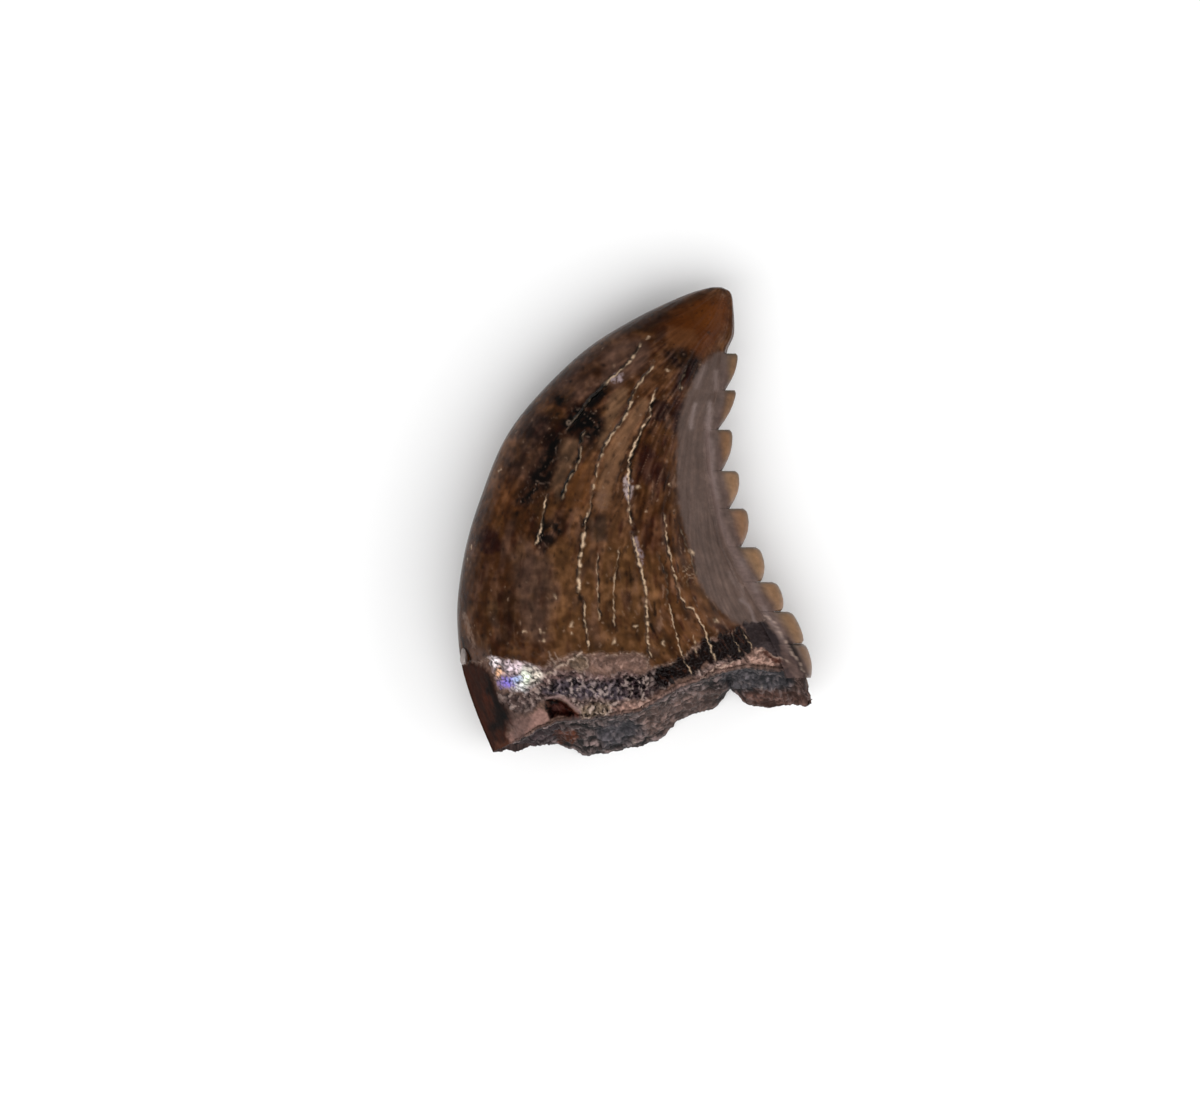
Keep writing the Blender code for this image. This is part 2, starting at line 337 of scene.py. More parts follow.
CROWN_LENGTH = 5.8
FIBRE_BEND = 1.9
ENAMEL_ROUGH = 0.22
# The wobble of drawn outlines: fineness to the millimetre, and reach in pixels
WIDE_WOBBLE = (5.0, 4)
FINE_WOBBLE = (28, 1.3)
WOBBLE_APART = 40  # keeps the noise for x and the noise for y apart


class Skin:
    """The points of one surface: where the photograph shows them, and the look that each one is given."""

    def __init__(self, points, along, across):
        self.points = points
        self.across = across
        self.x, self.y = photo_place(points)
        drift = FIBRE_BEND * along**2 * across * (1 - across)
        self.fibre = np.column_stack([
            (across - drift) * CROWN_WIDTH, along * CROWN_LENGTH, np.zeros_like(along)])
        self.lift = np.zeros(len(points))
        self.tint = np.zeros((len(points), 3))
        self.rough = np.full(len(points), ENAMEL_ROUGH)
        wide, wide_reach = WIDE_WOBBLE
        fine, fine_reach = FINE_WOBBLE
        self.wobble = np.column_stack([
            fractal(points * wide, 31), fractal(points * wide + WOBBLE_APART, 32),
        ]) * wide_reach + np.column_stack([
            noise(points * fine, 33), noise(points * fine + WOBBLE_APART, 34),
        ]) * fine_reach

    def wobbled(self, amount, amount_y=None):
        """Pixel places with the outlines' wobble in them."""
        amount_y = amount if amount_y is None else amount_y
        return self.x + self.wobble[:, 0] * amount, self.y + self.wobble[:, 1] * amount_y

    def streaks(self, across_size, along_size, seed, octaves=3):
        """Noise that is drawn out the way the tooth grew."""
        return fractal(self.fibre / np.array([across_size, along_size, 1]), seed, octaves)

    def grains(self, size, seed, octaves=3):
        """Noise with features about one size across, in millimetres."""
        return fractal(self.points / size, seed, octaves)

    def area(self, outline, soft, wobble=1.0):
        """1 inside an outline of pixels, 0 outside it."""
        return smooth_step(-soft, soft, area_distance(*self.wobbled(wobble), outline))

    def spot(self, centre, radii, wobble=0.5):
        """A soft oval spot."""
        x, y = self.wobbled(wobble)
        u, v = (x - centre[0]) / radii[0], (y - centre[1]) / radii[1]
        return np.exp(-(u * u + v * v))

    def line(self, line, half_width, wobble=0.25):
        """A soft line: how strong it is at each point, and how far to one side of it the point lies."""
        distance, side, _ = line_distance(*self.wobbled(wobble), line)
        return np.exp(-(distance / half_width)**2), distance * side

    def tone(self, colour, amount):
        """Paints a colour over the tint, by the amount at each point."""
        self.tint += (np.asarray(colour) - self.tint) * np.clip(amount, 0, 1)[:, None]

    def finish(self, rough, amount):
        """Changes the roughness, by the amount at each point."""
        self.rough += (rough - self.rough) * np.clip(amount, 0, 1)

    def raise_by(self, height, amount):
        self.lift += height * amount

    def paint(self, areas, amount=1.0, shade=1.0, wobble=1.0):
        """Paints a table of areas, each with its screen colour, strength, soft edge and outline."""
        for colour, strength, soft, outline in areas.values():
            self.tone(albedo(*colour) * shade, amount * strength * self.area(outline, soft, wobble))


# Enamel: wide differences in colour, each with its screen colour, strength, soft edge and outline
ENAMEL_AREAS = {
    "left third": ((63, 38, 24), 0.75, 14, [
        (455, 470), (520, 430), (540, 540), (548, 600), (545, 670), (455, 670)]),
    "lower middle": ((88, 60, 38), 0.80, 12, [
        (548, 545), (640, 540), (690, 560), (715, 620), (700, 650), (560, 660), (545, 600)]),
    "right of middle": ((66, 40, 24), 0.75, 9, [
        (640, 390), (688, 385), (684, 450), (684, 510), (690, 545), (640, 560), (628, 470)]),
    "upper left": ((56, 33, 20), 0.85, 12, [
        (500, 440), (560, 370), (640, 315), (680, 300), (668, 350), (600, 400), (560, 450)]),
    "centre": ((90, 61, 42), 0.70, 8, [
        (600, 410), (630, 400), (640, 420), (628, 470), (640, 540), (570, 545), (575, 480)]),
    "right, low": ((86, 54, 34), 0.60, 8, [
        (652, 560), (684, 560), (710, 610), (724, 632), (690, 648), (664, 640)]),
    "tip": ((76, 41, 19), 0.90, 7, [
        (677, 309), (699, 299), (726, 297), (731, 314), (727, 328), (714, 345), (704, 359), (684, 354),
        (670, 339), (663, 322)]),
    "tip ridge": ((96, 54, 26), 0.50, 5, [(697, 303), (722, 300), (722, 322), (706, 330), (696, 320)]),
    "below the tip": ((90, 57, 36), 0.75, 5, [(668, 326), (694, 330), (700, 348), (682, 350), (668, 344)]),
    "dark below the tip": ((26, 9, 3), 0.97, 5, [
        (664, 352), (684, 350), (703, 362), (704, 374), (695, 380), (686, 378), (676, 366), (666, 360)]),
    "edge by the tip": ((64, 42, 30), 0.60, 5, [
        (560, 366), (610, 326), (672, 296), (700, 288), (664, 312), (600, 346)]),
    # The next two areas are a painted sheen: a greyish reflection on the upper left of the crown.
    "upper painted sheen": ((86, 64, 54), 0.75, 7, [
        (606, 352), (620, 342), (640, 340), (650, 350), (646, 362), (630, 374), (614, 388), (602, 384)]),
    "painted sheen, lower": ((84, 62, 52), 0.55, 6, [(560, 384), (590, 374), (604, 386), (590, 400), (566, 404)]),
    "tan streak": ((102, 76, 57), 0.75, 3.5, [
        (622, 388), (630, 390), (622, 410), (612, 430), (604, 448), (598, 446), (602, 424), (608, 402)]),
    "ridge band": ((114, 83, 61), 0.80, 4, [
        (646, 398), (650, 404), (640, 422), (628, 444), (620, 462), (612, 484), (610, 504), (601, 512),
        (597, 500), (600, 478), (608, 452), (620, 428), (634, 408)]),
    "pale streak": ((112, 84, 70), 0.60, 2.0, [(663, 404), (669, 402), (670, 424), (666, 430), (663, 418)]),
    "amber left": ((94, 58, 34), 0.70, 7, [
        (488, 492), (503, 486), (524, 492), (522, 518), (506, 526), (490, 522)]),
    "amber upper left": ((88, 58, 36), 0.60, 7, [(490, 450), (508, 430), (516, 446), (504, 470), (490, 478)]),
    "amber middle": ((90, 57, 34), 0.80, 4, [
        (570, 466), (586, 462), (590, 486), (584, 509), (568, 508), (562, 490)]),
    "grey tan": ((90, 69, 54), 0.55, 5, [
        (556, 440), (572, 436), (580, 444), (576, 464), (566, 484), (556, 500), (550, 486), (556, 462)]),
    "mauve, left": ((82, 62, 52), 0.72, 8, [
        (508, 552), (520, 540), (545, 552), (556, 566), (556, 600), (546, 640), (524, 640), (516, 596)]),
    "olive, lower": ((92, 62, 40), 0.60, 8, [
        (556, 550), (578, 556), (576, 600), (583, 640), (566, 650), (556, 620)]),
    "pink edge": ((104, 76, 66), 0.60, 2.5, [(470, 541), (477, 538), (476, 554), (470, 556)]),
    "left blotch": ((42, 24, 22), 0.85, 3, [
        (479, 534), (488, 527), (502, 532), (502, 548), (488, 554), (480, 548)]),
    "left spot": ((48, 33, 27), 0.70, 4, [(505, 460), (524, 456), (525, 474), (509, 478)]),
    "grey upper": ((44, 34, 32), 0.80, 5, [
        (516, 440), (530, 420), (551, 412), (550, 430), (538, 448), (524, 458)]),
    # The next area is a painted shadow beside the second crack.
    "painted shadow, centre": ((56, 45, 38), 0.75, 4, [(588, 518), (602, 516), (611, 528), (606, 541), (590, 541)]),
    "low left blotch": ((42, 28, 20), 0.80, 4, [
        (498, 594), (510, 588), (518, 600), (515, 626), (508, 646), (500, 640), (503, 618)]),
    "low left blotch, side": ((54, 42, 30), 0.60, 4, [(487, 600), (497, 600), (498, 626), (488, 624)]),
    "dark right of the third": ((42, 23, 15), 0.75, 4, [
        (636, 452), (646, 446), (662, 458), (664, 480), (652, 486), (642, 478), (636, 470)]),
    "dark by the band": ((32, 20, 13), 0.85, 3, [(653, 402), (662, 396), (670, 406), (664, 420), (654, 418)]),
    "dark streak by the band": ((36, 22, 14), 0.75, 3, [
        (678, 374), (692, 368), (690, 382), (682, 402), (680, 420), (677, 436), (671, 430), (672, 398)]),
    "round the upper stain": ((32, 20, 14), 0.60, 5, [
        (560, 418), (575, 402), (600, 408), (606, 430), (592, 444), (572, 440), (556, 436)]),
    "round the upper streak": ((36, 24, 17), 0.75, 5, [
        (549, 430), (562, 436), (560, 462), (550, 484), (538, 502), (522, 510), (513, 504), (524, 484),
        (536, 462)]),
    "round the second streak": ((38, 26, 18), 0.55, 4, [
        (542, 470), (552, 472), (553, 492), (545, 505), (540, 490)]),
    "round the lower patch": ((34, 23, 16), 0.70, 5, [
        (532, 520), (545, 514), (564, 506), (569, 526), (560, 543), (544, 549), (534, 545)]),
    "red brown low": ((52, 28, 18), 0.60, 5, [(640, 520), (656, 516), (664, 540), (654, 556), (642, 544)]),
}

# Black stains in and beside the cracks
STAIN_AREAS = {
    "upper": (1.0, 3, [
        (562, 424), (576, 410), (592, 412), (602, 422), (601, 436), (590, 438), (580, 430), (570, 434)]),
    "upper streak": (0.95, 2.5, [
        (551, 434), (560, 437), (556, 458), (546, 478), (536, 494), (525, 507), (518, 504), (527, 486),
        (537, 468), (546, 450)]),
    "second streak": (0.80, 2, [(544, 473), (549, 474), (551, 487), (547, 498), (543, 490)]),
    "lower patch": (0.85, 3.5, [(540, 520), (556, 516), (562, 528), (556, 542), (546, 546), (536, 540)]),
    "lower patch left": (0.95, 2, [(535, 526), (541, 525), (544, 534), (540, 543), (535, 542)]),
    "lower patch right": (0.90, 2, [(554, 526), (560, 527), (560, 536), (555, 537)]),
    "wide crack": (0.95, 1.8, [
        (607, 382), (610, 388), (598, 402), (586, 414), (577, 420), (572, 418), (590, 398)]),
    "on the second crack": (0.90, 1.5, [(580, 519), (586, 520), (588, 530), (581, 531)]),
    "spot above": (0.95, 1.2, [(554, 396), (559, 392), (564, 395), (562, 403), (556, 404)]),
    "hook": (0.90, 1.3, [(575, 592), (581, 595), (586, 596), (585, 603), (579, 602)]),
}
STAIN_SPOTS = [
    ((558.5, 399.5), (4.5, 4.0)), ((518, 514), (2.5, 2.0)), ((571, 510), (2.2, 1.8)),
    ((557, 415), (2.0, 2.0)),
    ((571, 381), (1.8, 1.5)), ((603, 365), (1.8, 1.6)), ((526, 497), (2.0, 2.0)), ((499, 488), (1.8, 1.8)),
    ((709, 333), (1.5, 1.2)),
]

# Cracks: painted highlight edge strength and half width, dark strength, half width and side, groove depth,
# line
CRACKS = {
    "first, upper": (0.85, 1.0, 0.8, 1.1, -1.2, 0.012, [
        (641, 344), (637, 351), (630, 361), (623, 368), (611, 378), (606, 384)]),
    "first, lower": (0.12, 0.8, 1.0, 2.9, 1.0, 0.022, [
        (606, 384), (597, 392), (590, 398), (583, 408), (577, 416), (570, 423)]),
    "second, upper": (0.85, 1.0, 0.75, 1.3, -1.6, 0.014, [
        (655, 362), (650, 372), (643, 379), (637, 388), (631, 401), (627, 414), (620, 425), (613, 434),
        (605, 446), (599, 463), (596, 477), (592, 493)]),
    "second, middle": (0.60, 0.8, 0.80, 1.0, 1.3, 0.014, [
        (592, 493), (589, 511), (586, 520), (584, 533)]),
    "second, thick": (1.0, 1.5, 0.80, 1.0, -2.2, 0.010, [
        (584, 531), (582, 549), (580, 560), (579, 579), (578.5, 591)]),
    "second, lower": (0.85, 0.9, 0.60, 1.0, -1.4, 0.010, [
        (584, 603), (585, 626), (588, 634), (588.6, 651)]),
    "third, upper": (0.95, 1.0, 0.85, 1.4, 1.6, 0.016, [
        (655, 391), (651, 404), (650, 416), (643, 426), (641, 431), (634, 446), (628.6, 461), (628.6, 474),
        (628.6, 500), (630, 520), (633, 526)]),
    "third, lower": (0.90, 1.1, 0.45, 1.0, -1.4, 0.012, [
        (632, 533), (637, 550), (639, 563), (642, 570), (646, 590), (647.5, 620), (648, 643), (652, 657)]),
    "fourth": (0.50, 0.8, 0.95, 1.9, -1.5, 0.016, [
        (585, 431), (581, 443), (581, 453), (576, 469), (571, 476), (566, 486), (563, 499)]),
    "fifth": (0.85, 0.9, 0.80, 1.2, 1.5, 0.012, [
        (546, 496), (543, 511), (541, 529), (538, 537), (536, 544)]),
    "right of the ridge band": (0.0, 0.8, 0.55, 1.5, 1.0, 0.004, [
        (651, 404), (642, 423), (631, 444), (622, 462), (615, 484), (612, 503)]),
    "by the tip": (0.10, 0.8, 0.85, 1.1, 0.0, 0.010, [(686, 369), (680, 384), (681, 391)]),
    "sixth": (0.75, 0.7, 0.60, 1.0, -1.3, 0.010, [
        (665, 515), (666, 533), (670, 553), (675, 575), (680, 593), (687, 607), (693, 608), (700, 620),
        (707, 635), (712, 648), (715, 657)]),
    "seventh": (0.70, 0.7, 0.40, 1.0, 1.2, 0.008, [
        (668, 603), (673, 620), (677, 637), (683, 657), (693, 674)]),
    "eighth": (0.10, 0.8, 0.50, 1.0, 0.0, 0.006, [(658, 553), (667, 575), (668, 602)]),
    "along the band": (0.15, 0.8, 0.55, 1.1, 0.0, 0.006, [(680, 527), (687, 547), (692, 558), (697, 575)]),
    "tenth": (0.45, 0.8, 0.80, 1.1, 1.1, 0.010, [
        (598, 554), (596.4, 570), (598, 584), (598, 606), (600, 620)]),
    "eleventh": (0.50, 0.8, 0.45, 1.0, 1.1, 0.008, [
        (619, 549), (617, 566), (614, 577), (613.6, 599), (614, 626)]),
    "over the black, a": (0.55, 0.6, 0.0, 1.0, 1.0, 0.004, [(733, 632), (741, 651)]),
    "over the black, b": (0.55, 0.6, 0.0, 1.0, 1.0, 0.004, [(742, 627), (754, 647)]),
    "over the black, d": (0.50, 0.6, 0.0, 1.0, 1.0, 0.004, [(694, 635), (696, 645), (697, 656)]),
    "over the black, c": (0.65, 0.7, 0.0, 1.0, 1.0, 0.004, [(698.6, 616), (717, 660)]),
}

# Small painted glints: middle and radii in pixels.
GLINT_SPOTS = [
    ((668, 369), (1.8, 1.3)), ((646, 336), (1.6, 1.2)), ((555, 597), (1.4, 1.4)), ((524, 631), (1.3, 1.5)),
    ((541, 630), (1.2, 1.6)), ((541, 640), (1.2, 1.4)), ((572, 627), (1.2, 1.6)), ((569, 634), (1.2, 1.2)),
    ((613.6, 643), (1.3, 2.0)), ((636, 627), (1.2, 1.4)), ((662.5, 642), (1.2, 2.4)),
    ((668, 484), (1.2, 1.4)),
    ((645, 510), (1.2, 1.2)), ((691, 552), (1.5, 1.5)), ((715, 622), (1.3, 1.6)), ((638.6, 488), (1.5, 2.0)),
    ((681, 390), (1.3, 1.8)), ((500, 470), (1.0, 1.0)), ((471, 549), (1.3, 1.0)), ((468, 561), (1.2, 1.0)),
]

# The grey band along the toothed edge: a duller tone of its own, with a painted sheen over it
BAND = [
    (704, 362), (696, 376), (689, 388), (683, 404), (679, 421), (677, 453), (677.5, 487), (680, 513),
    (687, 537), (693, 558), (698, 580), (708, 597), (723, 613), (740, 625), (752, 628), (800, 640),
    (830, 720), (840, 560), (760, 400), (726, 350), (716, 352),
]
# A painted highlight along the fold where the band meets the denticles.
BAND_RIM_HIGHLIGHT = [
    (708, 420), (708, 445), (711, 470), (715, 495), (720, 520), (733, 550), (747, 580), (760, 600),
    (772, 620), (787, 642), (797, 660), (813, 699),
]

# The base, below the enamel
BASE_AREA = [
    (440, 668), (486, 660), (500, 658), (520, 662), (545, 665), (560, 659), (575, 652), (590, 653),
    (618, 653),
    (644, 653), (651, 666), (661, 667), (681, 657), (693, 650), (703, 640), (716, 637), (733, 631),
    (746, 624),
    (761, 621), (772, 618), (900, 700), (900, 900), (440, 900),
]

# Where the enamel is streaky, soft or busy
STREAKY_AREA = [
    (600, 400), (690, 380), (686, 470), (690, 540), (716, 600), (742, 626), (690, 650), (640, 640),
    (618, 540)]
SOFT_LEFT_AREA = [(455, 540), (540, 520), (545, 600), (560, 660), (455, 670)]
BUSY_AREA = [
    (512, 440), (548, 405), (575, 385), (606, 372), (612, 410), (598, 450), (585, 500), (580, 540),
    (535, 556),
    (512, 520)]


MARK_GRID = 8.0  # in pixels


def marks(skin, share, radius, seed):
    """Small scattered marks, one in some of the cells of a loose grid of pixels."""
    x, y = skin.x / MARK_GRID, skin.y / MARK_GRID
    total = np.zeros(len(x))
    for cell, code in cells_around(x, y, seed):
        centre_x = cell[:, 0] + byte_share(code)
        centre_y = cell[:, 1] + byte_share(code, 8)
        here = ((code >> 16) & 1023) / 1023 < share
        spread = radius / MARK_GRID * (0.6 + 0.8 * ((code >> 5) & 63) / 63)
        total += here * np.exp(-(((x - centre_x) / spread)**2 + ((y - centre_y) / (1.5 * spread))**2))
    return np.clip(total, 0, 1)


def enamel_ground(skin, shown):
    """Base colour and mottling. Both sides share them, so that they run on over the tooth's edges."""
    skin.tint[:] = albedo(74, 48, 31)
    skin.paint(ENAMEL_AREAS, shown)
    streaky = skin.area(STREAKY_AREA, 14)
    left = skin.area(SOFT_LEFT_AREA, 18)
    smooth = skin.area(ENAMEL_AREAS["tip"][3], 12)
    mauve = smooth_step(0.0, 0.7, skin.streaks(0.15, 0.45, 52))
    red = smooth_step(0.0, 0.7, skin.streaks(0.08, 0.28, 55))
    olive = smooth_step(0.0, 0.7, skin.grains(0.19, 58))
    calm = 1 - 0.7 * smooth
    skin.tone(albedo(90, 66, 56), 0.45 * mauve * calm)
    skin.tone(albedo(98, 66, 38), 0.30 * olive * calm)
    skin.tone(albedo(46, 23, 13), (0.45 + 0.25 * streaky) * red * calm)
    streak = 0.75 * skin.streaks(0.13, 0.36, 41, 2) + 0.50 * skin.streaks(0.065, 0.16, 44, 1)
    mottle = (
        0.55 * skin.grains(0.17, 47, 2) + 0.60 * skin.grains(0.085, 49, 1) + 0.38 * skin.grains(0.046, 51, 1))
    busy = skin.area(BUSY_AREA, 12)
    depth = streak * (0.85 + 0.40 * streaky - 0.45 * left) + mottle * (0.95 - 0.25 * streaky)
    skin.tint *= np.exp((0.90 + 0.45 * busy) * depth * (1 - 0.8 * smooth) - 0.08)[:, None]
    skin.tone(albedo(116, 90, 74), 0.30 * np.clip(depth, 0, 1) * (1 - smooth))
    return streaky, smooth, busy, streak, mottle


def enamel_look(skin):
    """Brown enamel: mottled and streaked along its growth, with its own areas, stains and cracks."""
    streaky, smooth, busy, streak, mottle = enamel_ground(skin, 1.0)
    hairlines(skin, streaky, smooth)
    for name, strength in CLEAR_AREAS.items():
        colour, _, soft, outline = ENAMEL_AREAS[name]
        even = albedo(*colour) * np.exp(0.25 * streak + 0.16 * mottle)[:, None]
        skin.tone(even, strength * skin.area(outline, soft))
    cream = albedo(146, 118, 98)
    low = smooth_step(560, 650, skin.y)
    broken = smooth_step(-0.2, 0.4, skin.grains(0.035, 53, 2))
    skin.tone(cream, 0.60 * broken * marks(skin, 0.10 + 0.16 * low, 1.1, 311) * (1 - smooth))
    # Pale curls of painted highlight, where light catches rough edges in the busy area.
    curls = wires(skin, 0.070, 0.13, 315) * smooth_step(0.05, 0.5, skin.grains(0.16, 317, 2))
    skin.tone(albedo(112, 90, 76), 0.30 * busy * curls)
    skin.tone(albedo(24, 14, 10), 0.60 * marks(skin, 0.18, 1.3, 313) * (1 - smooth))
    skin.raise_by(0.0035, skin.streaks(0.13, 1.4, 61))
    skin.raise_by(0.0050, skin.grains(0.55, 64, 2))
    skin.raise_by(0.0022, skin.grains(0.07, 66))
    skin.raise_by(0.0014, skin.streaks(0.03, 0.2, 68))


# Areas that show clear and even through the mottling, and how much
CLEAR_AREAS = {
    "tan streak": 0.50, "ridge band": 0.60, "amber middle": 0.50, "grey tan": 0.30, "left blotch": 0.35,
    "low left blotch": 0.45, "left spot": 0.40, "painted shadow, centre": 0.20,
    "upper painted sheen": 0.40, "dark by the band": 0.50, "dark streak by the band": 0.50,
    "dark right of the third": 0.35, "round the upper streak": 0.45, "round the upper stain": 0.35,
}


def hairlines(skin, streaky, smooth):
    """Broken hairlines, dark and light, that run the way the tooth grew."""
    bend = 0.04 * np.column_stack([skin.streaks(0.10, 0.30, 35, 2), np.zeros((len(skin.x), 2))])
    for colour, strength, seed in ((albedo(18, 10, 7), 0.75, 36), (albedo(132, 102, 84), 0.45, 38)):
        line = smooth_step(0.075, 0.02, np.abs(noise((skin.fibre + bend) / np.array([0.20, 1.5, 1]), seed)))
        dashes = smooth_step(0.0, 0.35, skin.streaks(0.09, 0.22, seed + 1, 2))
        skin.tone(colour, strength * line * dashes * (0.25 + 0.75 * streaky) * (1 - smooth))
    tufts = smooth_step(0.40, 0.75, skin.streaks(0.060, 0.12, 40, 1))
    skin.tone(albedo(120, 90, 74), 0.26 * tufts * (0.3 + 0.7 * streaky) * (1 - smooth))


def band_with_sheen_look(skin):
    """The smooth grey band along the toothed edge: a greyer tone of its own, with a painted sheen over it."""
    inside = skin.area(BAND, 3.0, wobble=0.6)
    streak = skin.streaks(0.10, 0.9, 71)
    fine = skin.streaks(0.035, 0.50, 75, 2) * smooth_step(430, 560, skin.y)
    # Lighter towards the bottom of the band and darker towards the top.
    lighter_low_darker_high = 0.14 * smooth_step(520, 590, skin.y) - 0.14 * smooth_step(470, 410, skin.y)
    depth = 0.25 * streak + 0.22 * skin.grains(0.11, 73) + 0.34 * fine + lighter_low_darker_high
    # The band's grey tint is partly its own tone and partly a painted sheen.
    colour = albedo(88, 73, 67) * np.exp(depth)[:, None]
    skin.tone(colour, 0.92 * inside)
    # Painted highlight along that fold.
    rim, _ = skin.line(BAND_RIM_HIGHLIGHT, 3.4)
    skin.tone(albedo(114, 96, 92), 0.65 * rim * inside)
    # Short painted highlights on the band.
    for line, width, strength in BAND_HIGHLIGHTS:
        mark, _ = skin.line(line, width, wobble=0.5)
        skin.tone(albedo(132, 116, 112), strength * mark)
    return inside


# Short painted highlights on the band: line, half width and strength.
BAND_HIGHLIGHTS = [
    ([(695, 405), (692, 418), (692, 428)], 2.4, 0.6),
    ([(709, 404), (710, 416), (709, 430)], 2.6, 0.6),
    ([(717, 372), (716, 388)], 2.6, 0.45),
    ([(704, 366), (696, 386)], 3.0, 0.30),
    ([(711, 440), (713, 470), (717, 496)], 2.6, 0.35),
    ([(742, 560), (754, 580), (757, 592)], 2.6, 0.45),
    ([(741, 600), (748, 606), (756, 622)], 2.2, 0.55),
    ([(765, 606), (772, 622), (782, 638)], 1.4, 0.60),
    ([(730, 572), (745, 600)], 2.4, 0.25),
]


STAIN_RING = (568.7, 422.6, 1.8)  # a small bright ring: its middle and radius in pixels


def stain_look(skin, inside_band):
    """Black stains with ragged edges and a few pale curls of painted highlight, on the enamel but not on the
    grey band.
    """
    black = albedo(13, 8, 6)
    patchy = smooth_step(-0.75, 0.10, skin.grains(0.075, 81) + 0.8 * skin.streaks(0.045, 0.16, 83))
    free = 1 - inside_band
    curls = wires(skin, 0.105, 0.11, 84) * smooth_step(-0.05, 0.40, skin.grains(0.13, 87, 2))
    for strength, soft, outline in STAIN_AREAS.values():
        mask = strength * skin.area(outline, soft + 1.5, wobble=1.1) * patchy * free
        skin.tone(black, mask)
        skin.raise_by(-0.006, mask)
        # Pale curls of painted highlight on the stains.
        skin.tone(albedo(132, 110, 96), 0.60 * curls * mask)
    for centre, radii in STAIN_SPOTS:
        skin.tone(black, 0.85 * skin.spot(centre, radii) * free)
    ring = np.abs(np.hypot(skin.x - STAIN_RING[0], skin.y - STAIN_RING[1]) - STAIN_RING[2])
    skin.tone(albedo(150, 128, 112), 0.55 * np.exp(-(ring / 0.9)**2))
    tufts = smooth_step(0.35, 0.85, skin.streaks(0.030, 0.13, 86))
    tufts = tufts * smooth_step(-0.1, 0.5, skin.grains(0.4, 88))
    skin.tone(black, 0.62 * tufts * free)


CRACK_REACH = 12  # no crack shows further from its line than this, in pixels


def crack_look(skin, cream):
    """Fine cracks: a jagged groove with a broken pale edge of painted highlight and a dark filled side."""
    flat = np.column_stack([skin.x, skin.y, np.zeros(len(skin.x))])
    jag_x = 1.35 * noise(flat / 6.0, 89) + 0.7 * noise(flat / 2.8, 90)
    jag_y = 0.9 * noise(flat / 6.0 + 30, 89)
    for index, crack in enumerate(CRACKS.values()):
        light, light_width, dark, dark_width, dark_side, depth, line = crack
        rough_distance, _, _ = line_distance(skin.x, skin.y, line)
        near_line = np.nonzero(rough_distance < CRACK_REACH)[0]
        distance, side, share = line_distance(
            skin.x[near_line] + jag_x[near_line], skin.y[near_line] + jag_y[near_line], line)
        signed = distance * side
        ends = smooth_step(0, 0.05, share) * smooth_step(1, 0.95, share)
        place = flat[near_line] + np.array([0, 0, 31.7 * index])
        dashes = smooth_step(-0.28, 0.12, noise(place / np.array([9, 5.5, 1]), 91))
        width = light_width * (0.85 + 0.40 * noise(place / 7, 92))
        black_dashes = smooth_step(-0.55, 0.0, noise(place / np.array([10, 8, 1]), 93))
        darkness = 1.15 * np.exp(-((signed - dark_side) / (1.15 * dark_width))**2)
        darkness = darkness * black_dashes * (0.3 + 0.7 * ends)
        other = 0.55 * np.exp(-((signed + dark_side) / dark_width)**2) * (1 - black_dashes) * ends
        edge_highlight = np.exp(-(distance / width)**2) * (0.3 + 0.7 * ends) * (0.12 + 0.88 * dashes)
        whole = np.zeros(len(skin.x))
        whole[near_line] = dark * (darkness + other)
        skin.tone(albedo(12, 7, 5), whole)
        # The pale edge is a painted highlight on the crack's lip.
        whole[near_line] = light * edge_highlight
        skin.tone(cream, whole)
        whole[near_line] = -depth * np.exp(-((signed - 0.6 * dark_side) / 1.5)**2) + 0.004 * edge_highlight
        skin.lift += whole


EDGE_CRACK = [(462, 638), (463, 646), (468, 651), (470.5, 659), (467.5, 665)]
SCRIBBLE = ((688, 573), (7, 9))


def light_marks(skin, cream):
    """Small painted glints, pale patches (those on the first and third cracks are painted highlights), a dark
    crack at the back edge and a faint scribble beside the band.
    """
    # The spots are painted glints.
    for centre, radii in GLINT_SPOTS:
        skin.tone(cream, 0.7 * skin.spot(centre, radii, wobble=1.1))
    skin.paint(LIGHT_PATCHES, smooth_step(-0.55, 0.15, skin.grains(0.045, 94)), wobble=0.6)
    mark, _ = skin.line(EDGE_CRACK, 1.2)
    skin.tone(albedo(16, 11, 10), 0.85 * mark)
    scribble = smooth_step(0.16, 0.04, np.abs(noise(skin.points / 0.050, 95)))
    skin.tone(cream, 0.30 * scribble * skin.spot(*SCRIBBLE))


# Pale patches; those on the first and third cracks are painted highlights.
LIGHT_PATCHES = {
    "third crack": ((168, 150, 148), 0.90, 1.2, [
        (622, 479), (628, 474), (633, 478), (634, 490), (630, 502), (626, 497)]),
    "first crack": ((160, 142, 144), 0.90, 1.2, [(610, 378), (614, 373), (622, 373), (622, 380), (615, 383)]),
    "third crack, low": ((140, 122, 124), 0.70, 1.5, [
        (632, 537), (636, 536), (642, 552), (643, 566), (638, 556)]),
    "left edge": ((122, 98, 84), 0.75, 1.2, [
        (462, 612), (466, 611), (471, 628), (475, 645), (471, 648), (466, 632)]),
    "left of the sparkle": ((84, 64, 56), 0.60, 3.5, [
        (470, 642), (482, 648), (490, 658), (484, 668), (470, 662)]),
    "by the third crack": ((108, 84, 74), 0.30, 2.5, [
        (598, 492), (608, 490), (607, 508), (600, 514), (596, 504)]),
}


